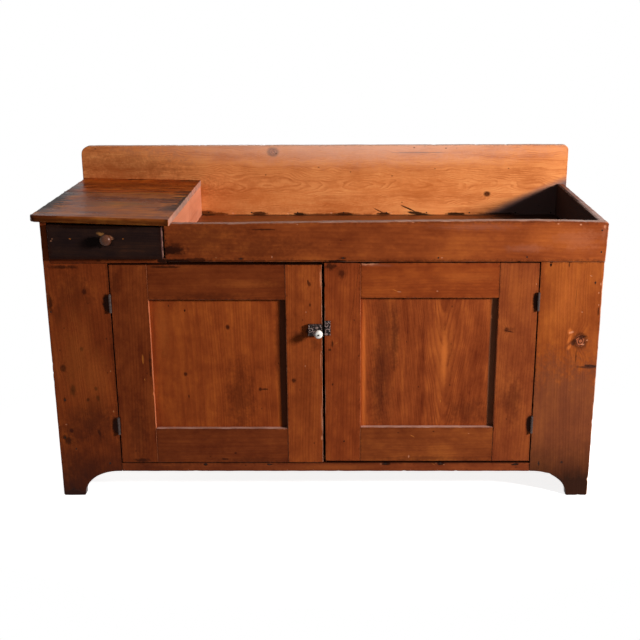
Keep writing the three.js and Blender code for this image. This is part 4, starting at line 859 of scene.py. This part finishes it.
def worktop():
    # The two boards are drawn level, with the front edge out of square and its left corner rounded, and then
    # tipped about the rim at the case's left side: x' = p + dx cos a + dz sin a and
    # z' = q + dz cos a - dx sin a
    _, _, y0, y1, _, _ = reach("worktop_front")
    rear = reach("worktop_rear")
    tip = {"x": -752 * mm, "z": 813 * mm, "thick": 19 * mm, "skew": 18 * mm, "corner": 16 * mm}
    ends = (-776 * mm, -400.5 * mm)
    angle = math.atan(topSlope)
    top = tip["z"] + tip["thick"]
    t = np.linspace(0, np.pi / 2, 8)
    yLeft = y0 + tip["skew"]
    corner = tip["corner"] * (1 - np.column_stack([np.sin(t), np.cos(t)])) + (ends[0], yLeft)
    nose = np.vstack([corner[::-1], [(ends[1], y0)]])
    frontSides = [
        (nose, 9.2, -0.72),
        # the right end faces the lamp and is painted pale as a cool highlight
        ([(ends[1], y0), (ends[1], y1)], 2.6, 0.7),
        ([(ends[1], y1), (ends[0], y1)], 0.6, -0.7),
        (np.vstack([[(ends[0], y1)], corner[-1:]]), 5.0, -0.5),
    ]
    # the rear board's right end is likewise painted pale as a highlight
    rearSides = box2d(*ends, rear[2], rear[3], (0.6, 2.6, 0.6, 5.0), (-0.7, 0.7, -0.8, -0.6))
    for node, seed, tint, sides in (("worktop_front", 51, (1.66, 1.18, 0.7), frontSides),
                                    ("worktop_rear", 52, (1.85, 0.98, 0.42), rearSides)):
        y0, y1 = reach(node)[2:4]
        wood = {
            "finish": "worktop", "grain": "xyz", "face": top / mm - 4, "seed": seed, "tint": tint,
            "level": 0.52, "pith": (y0 / mm + 60, -70), "taper": 0.03, "waver": (0, 14, 10), "band": 0.1,
            "grime": 0.3, "grimeReach": 10, "border": (-776, -400, -500, 500), "knocks": 0.1,
            "rubbed": 0.25, "rubAndHighlightColour": "#c8a090", "markDepth": 40,
            "marks": {
                "dark": [(-775, -190, 80, 110), (-778, 20, 60, 260), (-764, 130, 50, 60),
                         (-405, -150, 60, 70), (-410, 90, 60, 30), (-700, 60, 60, 10), (-480, -30, 70, 7),
                         (-600, 120, 90, 8), (-560, 285, 90, 8)],
                "black": [(-779, -90, 32, 190), (-398, -50, 20, 110), (-760, -75, 70, 7),
                          (-755, -130, 60, 6), (-418, -75, 60, 6), (-422, -22, 66, 6), (-772, -160, 44, 16),
                          (-770, -105, 60, 11), (-766, -50, 40, 12), (-768, 10, 50, 10), (-402, 0, 46, 11),
                          (-402, -50, 60, 9), (-405, 45, 50, 9), (-402, -110, 46, 9), (-402, -165, 30, 8),
                          (-600, 280, 40, 7), (-440, 278, 60, 9)],
                "tan": [(-570, -110, 130, 50), (-520, 60, 110, 16)],
                "pale": [(-520, 90, 6, 3), (-440, 100, 5, 4), (-590, 40, 5, 2)],
                "shade": [(-600, 190, 200, 60)],
                "glow": [(-560, -200, 120, 40)],
            },
        }
        wear = {"seed": seed, "nicks": 5, "nickDepth": 0.6, "wander": 0.08, "corner": 3}
        finished = pine(node + "Pine", wood)
        board = wornBoard(node + ".board", sides, top, top - tip["thick"], "xy", wear, finished)
        points = np.empty(3 * len(board.data.vertices))
        board.data.vertices.foreach_get("co", points)
        points = points.reshape(-1, 3)
        dx, dz = points[:, 0] - tip["x"], points[:, 2] - tip["z"]
        points[:, 0] = tip["x"] + dx * math.cos(angle) + dz * math.sin(angle)
        points[:, 2] = tip["z"] + dz * math.cos(angle) - dx * math.sin(angle)
        board.data.vertices.foreach_set("co", points.ravel())
        board.data.update()
        settle(board, "case", "pine_worktop", node)


sidePanels()
splashBoard()
worktop()
print("sides, splash board and worktop ready")


# Doors: worn stiles and rails round a flat panel, in place of the CAD frame

def framedDoor(label, body, hingeSide, look):
    panel = reach(f"door_{label}_panel")
    haunch = {"outer": 14, "inner": 21}
    stiles = {}
    for kind in ("hinge", "lock"):
        node = f"door_{label}_{kind}_stile"
        x0, x1, _, _, z0, z1 = stiles[kind] = reach(node)
        atLeft = (kind == "hinge") == (hingeSide < 0)
        # the edge beside the panel is pale, as rubbed wear and, where it faces the lamp, as a painted
        # highlight; the edges at the seams are dark
        inner, outer = (0.8, 0.75), (1.2, look[kind].get("outerRim", -0.9))
        right, left = (inner, outer) if atLeft else (outer, inner)
        edges, rims = (1.2, right[0], 1.2, left[0]), (-0.8, right[1], -0.9, left[1])
        wood = {
            **upright, "pith": ((x0 + x1) / 2 / mm + 190, 130), "ringWidth": 8.5, "taper": 0.02, **look[kind],
        }
        leaves = [f"hinge_{label}_{place}_door_leaf" for place in ("lower", "upper")]
        cuts = [houseLeaf(leaf) for leaf in leaves] if kind == "hinge" else ()
        wear = {"seed": look["seed"] + len(kind), "nicks": 6, "nickDepth": 1.3,
                "chips": look[kind].get("chips", [])}
        faceBoard(node, wood, box2d(x0, x1, z0, z1, edges, rims), wear, body, cuts=cuts)

    left, right = (stiles["hinge"], stiles["lock"]) if hingeSide < 0 else (stiles["lock"], stiles["hinge"])
    a, b = left[1] + fitGap, right[0] - fitGap
    for kind in ("bottom", "top"):
        node = f"door_{label}_{kind}_rail"
        z0, z1 = reach(node)[4:]
        low = kind == "bottom"
        wood = {
            **lying, "pith": ((z0 + z1) / 2 / mm + 150, 120), "ringWidth": 8, "taper": 0.015,
            "border": (a / mm, b / mm, z0 / mm, z1 / mm), "rubAndHighlightColour": "#c29888", **look[kind],
        }
        # a bottom rail's top edge is painted pale: rubbed wear, with a painted highlight from above
        edges = (1.2, 0.35, 1.0, 0.35) if low else (0.9, 0.35, 1.2, 0.35)
        rims = (-0.8, -0.9, 0.7, -0.9) if low else (-0.6, -0.9, -0.8, -0.9)
        wear = {"seed": look["seed"] + len(kind) + 7, "nicks": 6, "nickDepth": 1.2,
                "chips": look[kind].get("chips", [])}
        board = faceBoard(node, wood, box2d(a, b, z0, z1, edges, rims), wear, body)
        # the through tenon shows its end grain at the door's edge, a hair proud since the stile has shrunk
        t0 = z0 + (haunch["outer"] if low else haunch["inner"]) * mm
        t1 = z1 - (haunch["inner"] if low else haunch["outer"]) * mm
        ends = box2d(left[0] - fitGap, right[1] + fitGap, t0, t1, (0.4, 0.4, 0.4, 0.4))
        tenon = wornBoard(node + ".tenon", ends, panel[2], panel[3], "xz", {"seed": 5, "nicks": 0},
                          board.data.materials[0])
        settle(tenon, body, "pine_shellacked")

    x0, x1, _, _, z0, z1 = panel
    groove = 7
    # painted shadow of the frame at the panel's right, and painted shade under its top rail
    marks = look["panel"]["marks"]
    corner = {"paintedShadow": [((z0 + z1) / 2 / mm, right[0] / mm + 1, 420, 22)],
              "dark": marks["dark"] + [(z1 / mm - groove, (x0 + x1) / 2 / mm, 6, 400)]}
    wood = {
        **upright, "face": panel[2] / mm, "ringWidth": 9, "grime": 0.12, "grimeReach": 8, "knocks": 0.08,
        "border": (z0 / mm + groove, z1 / mm - groove, left[1] / mm, right[0] / mm),
        **look["panel"], "marks": {**marks, **corner},
    }
    faceBoard(f"door_{label}_panel", wood, box2d(x0, x1, z0, z1, (0.4, 0.4, 0.4, 0.4)),
              {"seed": look["seed"], "nicks": 0}, body)


leftDoorLook = {
    "seed": 60,
    "hinge": {"seed": 61, "tint": (0.94, 0.92, 0.93), "level": 0.42, "marks": {
        "scratch": [(422, -497, 17, 3), (361, -495, 4, 2)],
        "shade": [(200, -520, 120, 40), (640, -560, 60, 20)],
        "dark": [(112, -520, 8, 30), (400, -478, 60, 3)],
    }},
    "lock": {"seed": 62, "tint": (1.1, 1.06, 1), "level": 0.52, "outerRim": 0.6, "rubAndHighlightColour": "#dca68a",
             "knots": [(640, -30, 4, 0.4)], "marks": {
        "dark": [(646, -34, 8, 3), (358, -77, 8, 8, 30), (580, -29, 6, 2), (330, -60, 5, 3)],
        "pale": [(401, -44, 4, 1.5), (560, -40, 3, 1.5), (655, 1, 34, 3), (420, 0, 40, 1.8),
                 (250, 0, 60, 1.6), (182, 1, 10, 4)],
        # painted shadow of the latch and its knob, below and to the left of them
        "shade": [(470, -20, 34, 16)],
        "soot": [(503, -28, 21, 17)],
        "dusk": [(496, -60, 14, 30, 8)],
    }},
    "bottom": {"seed": 63, "tint": (0.74, 0.72, 0.8), "level": 0.45, "marks": {
        "dark": [(-248, 135, 5, 3), (-278, 116, 14, 4)],
        "shade": [(-200, 112, 160, 14)],
        "pale": [(-120, 210, 12, 1.2), (-106, 209, 5, 1.4)],
    }},
    "top": {"seed": 64, "tint": (0.72, 0.66, 0.7), "level": 0.48, "marks": {
        "shade": [(-300, 606, 180, 12)],
        "dark": [(-420, 688, 60, 4)],
        "glow": [(-200, 640, 120, 16)],
    }},
    # the panel names its own colour for the painted shadow of its frame
    "panel": {"seed": 65, "paintedShadow": "#6a3c2a", "band": 0.25, "tint": (1.05, 0.94, 0.88), "level": 0.58,
              "pith": (-420, 70), "taper": 0.03, "waver": (0, 14, 12),
              "knots": [(512, -259, 4.5, 0.7), (373, -382, 4, 0.65), (327, -173, 3.5, 0.65)],
              "marks": {
                  "black": [(560, -376, 4, 2.4, 10)],
                  "dark": [(305, -376, 7, 3), (327, -160, 4, 12)],
                  "shade": [(300, -230, 150, 60), (450, -120, 140, 16)],
                  "glow": [(500, -440, 120, 30)],
              }},
}
rightDoorLook = {
    "seed": 70,
    "hinge": {"seed": 71, "tint": (0.8, 0.78, 0.93), "level": 0.6, "knots": [(509, 514, 5, 0.35)], "marks": {
        # painted shadows of the hinge knuckles, falling to their left
        "soot": [(590, 590, 34, 11), (224, 590, 34, 11)],
        "shade": [(509, 520, 12, 30), (300, 540, 90, 40)],
        "dark": [(504, 520, 3, 18, 12)],
        "glow": [(620, 540, 90, 40)],
        "pale": [(640, 590, 4, 2)],
    }},
    "lock": {"seed": 72, "tint": (0.92, 0.81, 0.84), "level": 0.55, "chips": [((107, 700), 5, 2.2)],
             "knots": [(670, 58, 7, 0.35)], "marks": {
        "dark": [(467, 32, 14, 4), (346, 32, 5, 3), (690, 30, 14, 22), (450, 24, 6, 6)],
        "black": [(172, 64, 4, 3)],
        "shade": [(670, 58, 26, 20)],
        "pale": [(300, 12, 60, 1.4), (560, 12, 40, 1.6)],
        "scratch": [(470, 44, 6, 1, 60)],
    }},
    "bottom": {"seed": 73, "tint": (0.83, 0.86, 0.89), "level": 0.54, "marks": {
        "scratch": [(176, 245, 2, 18, 90), (260, 188, 9, 1.6, -30)],
        "pale": [(420, 196, 3, 1.4), (250, 124, 3, 6)],
        "shade": [(300, 118, 200, 10)],
    }},
    "top": {"seed": 74, "tint": (0.88, 0.76, 0.73), "level": 0.6,
            "chips": [((125, 700), 14, 2.6), ((150, 700), 8, 1.6)], "marks": {
        "scratch": [(205, 622, 10, 1.6, -25)],
        # the pale mark and the bloom along the top edge near the left paint a highlight there
        "pale": [(216, 618, 8, 1.8, -5), (134, 697.5, 30, 5.5, 1), (320, 620, 3, 2)],
        "bloom": [(150, 694, 60, 7, -2)],
        "glow": [(400, 660, 120, 20)],
    }},
    # the panel names its own colour for the painted shadow of its frame
    "panel": {"seed": 75, "paintedShadow": "#805038", "band": 0.45, "tint": (1, 0.95, 1), "level": 0.56,
              "pith": (345, 22), "taper": -0.13, "ring": 0.14, "ringWidth": 8, "ringFade": (34, 70),
              "waver": (0, 14, 9), "wave": (260, 100), "fibre": 0.16,
              "marks": {
                  "amber": [(400, 119, 300, 8), (420, 345, 110, 12)],
                  "dusk": [(420, 175, 330, 40), (500, 205, 150, 22)],
                  "dark": [(463, 363, 4, 2), (340, 363, 4, 2)],
                  "shade": [(330, 160, 190, 30), (260, 420, 60, 90), (470, 205, 120, 14)],
                  "scratch": [(291, 338, 6, 1.4)],
                  "glow": [(440, 345, 130, 40)],
              }},
}
framedDoor("left", "door_left", -1, leftDoorLook)
framedDoor("right", "door_right", 1, rightDoorLook)
print("doors ready")


# Boards kept from the CAD: floors, shelf, cleats, divider, back boards and the drawer

def keptBoards():
    def keep(nodes, finish, grain, face, seed, **more):
        for k, node in enumerate(nodes):
            wood = {"finish": finish, "grain": grain, "face": face, "seed": seed + 3 * k, "pith": (90, 140),
                    "ringWidth": 6, "knocks": 0.12, "taper": 0.03, **more}
            easeNode(node, pine(node + "Pine", wood), 0.9)

    floorTop, floorTint = reach("sink_floor_front")[5] / mm, (0.86, 1.1, 1.25)
    # the well's floor boards are painted near black at their right end, as painted shadow of the right side
    # panel
    keep(["sink_floor_front"], "shellac", "xyz", floorTop, 81, pith=(-140, -90), level=0.5,
         tint=floorTint, marks={"soot": [(760, 0, 300, 900)]})
    keep(["sink_floor_rear"], "shellac", "xyz", floorTop, 83, pith=(200, -70), level=0.52,
         tint=floorTint, marks={
        "black": [(-386, 292, 40, 14), (-250, 290, 60, 10), (-84, 292, 40, 12), (62, 292, 50, 9),
                  (300, 292, 70, 12), (470, 290, 90, 10)],
        "dark": [(0, 285, 500, 10)],
        "pale": [(-320, 280, 6, 5), (-120, 284, 4, 4)],
        # painted shadow at the right end, as on the front board
        "soot": [(760, 200, 300, 900)],
    })
    keep(["cupboard_floor", "shelf"], "bare", "xyz", 115, 85, pith=(40, -120))
    keep(["shelf_cleat_left", "shelf_cleat_right", "drawer_stop"], "bare", "yzx", 0, 91)
    # the divider's front end, seen in the gap beside the drawer, is painted dark as shade
    keep(["sink_divider"], "honey", "yzx", reach("sink_divider")[1] / mm, 97, pith=(640, -60), level=0.6,
         tint=(0.88, 0.82, 1.22), markDepth=60, blotch=0.12, marks={"soot": [(-262, 757, 18, 120)]})
    keep([f"back_board_{k}" for k in range(1, 7)], "bare", "zxy", reach("back_board_1")[3] / mm, 101,
         pith=(-180, -80), level=0.5, waver=(0, 14, 10))
    # the sides' front ends, seen beside the drawer front, get painted shade under a painted cool highlight
    keep(["drawer_side_left", "drawer_side_right"], "bare", "yzx", -600, 121, pith=(700, -200),
         markDepth=400, marks={"dark": [(-282, 757, 11, 140)], "lilac": [(-282, 757, 11, 140)]})
    keep(["drawer_back"], "bare", "xzy", 240, 127, pith=(700, -150))
    keep(["drawer_bottom"], "bare", "xyz", 726, 129, pith=(0, -200))
    x0, x1, y0, _, z0, z1 = [v / mm for v in reach("drawer_front")]
    keep(["drawer_front"], "blackened", "xzy", y0, 131, tint=(1.2, 1.2, 1.3), pith=(640, 120), grime=0.6,
         border=(x0, x1, z0, z1), markDepth=40, marks={
             "worn": [(-586, 783.2, 13, 6.8, -12)],
             "pale": [(-559.5, 773.8, 9, 6, -30), (-719, 764, 4, 2.6), (-716, 770, 3, 2)],
             "scratch": [(-668, 770, 4, 2), (-526, 770, 3, 2)],
             # the black band along the top edge is painted shadow under the worktop's overhang
             "black": [(-590, 762, 40, 20), (-600, 803, 140, 8)],
             # the right end is painted as a cool highlight where it catches the lamp
             "lilac": [(x1, 757, 2.2, 60)],
         })


keptBoards()
print("inner boards and drawer ready")


# Hinges: leaves and pins from the CAD, with countersunk screws

hingeNames = [f"hinge_{label}_{place}" for label in ("left", "right") for place in ("lower", "upper")]
for hinge in hingeNames:
    for part in ("case_leaf", "door_leaf", "pin"):
        easeNode(f"{hinge}_{part}", hingeIron, 0.22)
for node in ("door_bolt_plate", "door_bolt_rod"):
    easeNode(node, hingeIron, 0.4)
for node in ("latch_case", "latch_keeper"):
    easeNode(node, latchIron, 0.35)
for node in ("latch_bolt", "latch_spindle"):
    easeNode(node, spindleIron, 0.3)


def headGrid(radius, dome, slot, square, sectors=20, rows=6):
    # A screw or nail head on polar coordinates: height = dome (1 - s^2), less the slot where the distance
    # across it is under half its width. square pushes the round outline towards a rectangle.
    s = np.linspace(0, 1, rows + 1)[1:]
    turn = np.linspace(0, 2 * np.pi, sectors, endpoint=False)
    swell = 1 / np.maximum(np.abs(np.cos(turn)), np.abs(np.sin(turn)))
    grow = 1 + square * (swell - 1)
    u = (radius * s[:, None] * grow * np.cos(turn)).ravel()
    v = (radius * s[:, None] * grow * np.sin(turn)).ravel()
    h = np.repeat(dome * (1 - s ** 2), sectors)
    if slot:
        h = h - np.where(np.abs(v) < slot / 2, 0.45 * dome + 0.2, 0)
    u, v, h = [np.concatenate([[0], part]) for part in (u, v, h)]
    h[0] = dome if not slot else 0.55 * dome - 0.2
    skirt = slice(len(u) - sectors, len(u))
    u, v, h = np.append(u, u[skirt]), np.append(v, v[skirt]), np.append(h, np.full(sectors, -1.6))
    faces = [(0, 1 + (k + 1) % sectors, 1 + k) for k in range(sectors)]
    for row in range(rows):
        a, b = 1 + row * sectors, 1 + (row + 1) * sectors
        faces += [(a + k, a + (k + 1) % sectors, b + (k + 1) % sectors, b + k) for k in range(sectors)]
    last = 1 + rows * sectors
    faces.append(tuple(range(last, last + sectors)))
    return np.column_stack([u, v, h]), [face[::-1] for face in faces]


def heads(name, body, slot, material, shape, places):
    # many heads in one piece: each place gives a point on the surface, the way out of it and a turn in
    # degrees
    grid, faces = headGrid(**shape)
    points, allFaces = [], []
    for k, (x, y, z, out, turn) in enumerate(places):
        away = Vector(out).normalized()
        side = away.orthogonal().normalized()
        side.rotate(Quaternion(away, math.radians(turn)))
        up = away.cross(side)
        basis = np.array([side, up, away]) * mm
        points.append(grid @ basis + np.array((x, y, z)))
        allFaces += [tuple(i + k * len(grid) for i in face) for face in faces]
    piece = newMesh(name, np.concatenate(points), allFaces, material, 50)
    settle(piece, body, slot)


def hingeScrews():
    # a leaf's open face lies beside the pin's axis, and its screws lie in from its far edge
    rng = np.random.default_rng(5)
    beside, fromEdge = 0.5 * mm, 7 * mm
    shape = {"radius": 3.1, "dome": 0.35, "slot": 0.9, "square": 0}
    groups = {"case": [], "door_left": [], "door_right": []}
    for hinge in hingeNames:
        label = hinge.split("_")[1]
        for part, body in (("case_leaf", "case"), ("door_leaf", f"door_{label}")):
            x0, x1, _, y1, z0, z1 = reach(f"{hinge}_{part}")
            pin = reach(f"{hinge}_pin")
            axis = (pin[0] + pin[1]) / 2
            out = -math.copysign(1, (x0 + x1) / 2 - axis)
            face = axis - out * beside
            for share in (0.17, 0.5, 0.83):
                z = z0 + share * (z1 - z0)
                groups[body].append((face, y1 - fromEdge, z, (out, 0, 0), rng.uniform(0, 180)))
    for body, places in groups.items():
        heads(f"hinge_screws.{body}", body, "hinge_iron", hingeIron, shape, places)


def nails():
    # cut nails: small oblong heads, a hair below the face, in the stains that they have made
    shape = {"radius": 2.2, "dome": 0.15, "slot": 0, "square": 0.8}
    front = [(x * mm, frontFace, z * mm, (0, -1, 0), turn) for x, z, turn in (
        (-335, 99, 10), (-152, 98, 80), (183, 101, 5), (342, 102, 60), (557, 99, 85), (625, 102, 0),
        (691, 106, 20), (-611, 102, 5), (-705, 148, 15), (-725, 299, 0), (-734, 183, 40), (750, 644, 10),
        (62, 713, 5), (-214, 711, 85), (760, 730, 10), (758, 790, 12), (560, 716, 0), (320, 714, 0),
        (-742, 560, 0))]
    # rows into the edges of the cupboard's floor, the shelf and the well's floor
    floorRow, shelfRow, wellRow = 104 * mm, 404 * mm, 701 * mm
    sides = []
    for node, out in (("side_panel_left", -1), ("side_panel_right", 1)):
        x0, x1, y0, y1, _, _ = reach(node)
        x = x0 if out < 0 else x1
        for z in (floorRow, shelfRow, wellRow):
            sides += [(x, y0 + share * (y1 - y0), z, (out, 0, 0), 90)
                      for share in (0.06, 0.28, 0.5, 0.72, 0.94)]
    backs, underTop = [], 9 * mm
    for k in range(1, 7):
        x0, x1, _, y1, _, z1 = reach(f"back_board_{k}")
        for z in (floorRow, shelfRow, z1 - underTop):
            backs += [(x0 + share * (x1 - x0), y1, z, (0, 1, 0), 90) for share in (0.25, 0.75)]
    x0, x1, y0, y1, _, z1 = reach("worktop_front")
    rear = reach("worktop_rear")
    # a nail in the worktop lies on its slope, z = z1 - slope (x - x0), over the case's side or the divider
    overSide, overDivider = x0 + 36 * mm, x1 - 12 * mm
    ahead, midway, behind = 40 * mm, 190 * mm, 30 * mm
    rows = (y0 + ahead, y0 + midway, y1 - behind, rear[2] + ahead, rear[3] - behind)
    tops = [(x, y, z1 - topSlope * (x - x0), (topSlope, 0, 1), 30)
            for x in (overSide, overDivider) for y in rows]
    splash, splashRow = reach("splash_board"), 718 * mm
    tops += [(x * mm, splash[2], splashRow, (0, -1, 0), 20)
             for x in (-380, -240, -90, 60, 200, 330, 470, 620, 735)]
    heads("cut_nails.case", "case", "hinge_iron", nailIron, shape, front + sides + backs + tops)


hingeScrews()
nails()
print("screws and nails ready")


# Turned knobs

def lathed(name, profile, centre, material, sectors=56):
    # A turned knob whose axis points out of the front: radius and reach follow a smooth curve through the
    # profile's points, carried round the axis. The first and last points lie on the axis.
    profile = np.array(profile, float)
    run = np.concatenate([[0], np.cumsum(np.hypot(*np.diff(profile, axis=0).T))])
    slope = np.gradient(profile, run, axis=0)
    at = np.linspace(0, run[-1], 60)
    k = np.clip(np.searchsorted(run, at, "right") - 1, 0, len(run) - 2)
    gap = (run[k + 1] - run[k])[:, None]
    f = (at - run[k])[:, None] / gap
    # cubic blend between neighbouring points with their slopes
    smooth = ((1 + 2 * f) * (1 - f) ** 2 * profile[k] + f * (1 - f) ** 2 * gap * slope[k]
              + f ** 2 * (3 - 2 * f) * profile[k + 1] + f ** 2 * (f - 1) * gap * slope[k + 1])
    radius, out = np.maximum(smooth[1:-1, 0], 0.05), smooth[1:-1, 1]
    turn = np.linspace(0, 2 * np.pi, sectors, endpoint=False)
    x = centre[0] + radius[:, None] * mm * np.cos(turn)
    z = centre[2] + radius[:, None] * mm * np.sin(turn)
    y = centre[1] - np.repeat(out[:, None] * mm, sectors, axis=1)
    points = np.stack([x, y, z], axis=-1).reshape(-1, 3)
    return newMesh(name, points, tubeFaces(len(radius), sectors), material, 60)


def knobs():
    x0, x1, y0, y1, z0, z1 = reach("drawer_knob")
    face = reach("drawer_front")[2]
    centre = ((x0 + x1) / 2, face, (z0 + z1) / 2)
    out = (face - y0) / mm
    r = (x1 - x0) / 2 / mm
    shape = [(0, -9), (0.36 * r, -9), (0.4 * r, -1), (0.66 * r, 0.3), (0.6 * r, 0.09 * out),
             (0.44 * r, 0.22 * out), (0.46 * r, 0.34 * out), (0.74 * r, 0.44 * out), (0.95 * r, 0.55 * out),
             (0.99 * r, 0.64 * out), (0.93 * r, 0.76 * out), (0.72 * r, 0.89 * out), (0.38 * r, 0.97 * out),
             (0, 0.995 * out)]
    wood = {"finish": "turned", "grain": "yxz", "face": 770, "seed": 141, "pith": (-569, -30),
            "ringWidth": 3, "level": 0.4}
    piece = lathed("drawer_knob.turned", shape, centre, pine("turnedKnobWood", wood))
    settle(piece, "drawer", "turned_knob_wood", "drawer_knob")

    x0, x1, y0, y1, z0, z1 = reach("latch_knob")
    centre = ((x0 + x1) / 2, y1, (z0 + z1) / 2)
    out, r = (y1 - y0) / mm, (x1 - x0) / 2 / mm
    shape = [(0, 0), (0.52 * r, 0.0), (0.58 * r, 0.06 * out), (0.46 * r, 0.2 * out), (0.44 * r, 0.32 * out),
             (0.72 * r, 0.44 * out), (0.95 * r, 0.56 * out), (0.995 * r, 0.68 * out), (0.93 * r, 0.83 * out),
             (0.7 * r, 0.95 * out), (0.3 * r, 0.995 * out), (0, 0.97 * out)]
    piece = lathed("latch_knob.porcelain", shape, centre, porcelain)
    settle(piece, "latch_turner", "porcelain", "latch_knob")


knobs()
print("knobs ready")


# Light, floor and surroundings

def seenDirectly(add):
    # 1 for what the camera sees, also in or through a shiny surface
    seen = add("LightPath", out=None)
    direct = add("Math MAXIMUM", seen["Is Camera Ray"], seen["Is Glossy Ray"])
    return add("Math MAXIMUM", direct, seen["Is Transmission Ray"])


def studio():
    # the lamp at the right lights the front; wide weak ones behind and at the left, lower than the rim,
    # light only those two sides
    for name, place, aimed, size, power, colour in (
            ("window", (2.89, -1.76, 1.62), (0, -0.2, 0.5), 0.6, 190, (1.0, 0.97, 0.96)),
            ("rearLamp", (-0.7, 2.9, 0.6), (0, 0.3, 0.45), 1.1, 38, (1.0, 0.98, 0.96)),
            ("sideLamp", (-3.3, 0.6, 0.42), (-0.75, 0.1, 0.4), 0.8, 34, (1.0, 0.98, 0.96))):
        lampData = bpy.data.lights.new(name, "AREA")
        lampData.shape, lampData.size = "DISK", size
        lampData.energy, lampData.color = power, colour
        lamp = bpy.data.objects.new(name, lampData)
        lamp.location = place
        lamp.rotation_euler = (Vector(aimed) - Vector(place)).to_track_quat("-Z", "Y").to_euler()
        scene.collection.objects.link(lamp)

    world = bpy.data.worlds.new("room")
    world.use_nodes = True
    add = adder(world.node_tree)
    fill = add("Background", (0.98, 0.98, 1.0, 1), 0.1)
    white = add("Background", (1, 1, 1, 1), 1)
    add("OutputWorld", add("MixShader", seenDirectly(add), fill, white), out=None)
    scene.world = world

    # pale studio floor: painted board that keeps the cabinet's shadow near it and turns to plain white away
    # from it, so that no horizon shows; in what it sends back it is grey
    made, add = newMaterial("paintedStudioFloor")
    here = add("TexCoord", out="Object")
    cloud = add("TexNoise", here, {"Scale": 1.5, "Detail": 2})
    tint = add("ValToRGB", cloud, stops=[(0.3, "#f4f4f4"), (0.7, "#fbfbfb")])
    paint = add("BsdfDiffuse", tint)
    near = add("AddShader", paint, add("Emission", (1, 1, 1, 1), 0.84))
    plain = add("Emission", (1, 1, 1, 1), 1)
    apart = add("Mapping", here, {"Scale": (1 / 1.3, 1 / 0.85, 1)})
    apart = add("VectorMath LENGTH", apart, out="Value")
    apart = add("MapRange SMOOTHSTEP", apart, 0.55, 1.0)
    shown = add("MixShader", apart, near, plain)
    dull = add("BsdfDiffuse", linear("#8a8a8a"))
    add("OutputMaterial", add("MixShader", seenDirectly(add), dull, shown), out=None)
    half = 14.0
    floor = newMesh("floor", [(-half, -half, 0), (half, -half, 0), (half, half, 0), (-half, half, 0)],
                    [(0, 1, 2, 3)], made)


studio()
scene.view_settings.view_transform = "Standard"
print("studio ready")
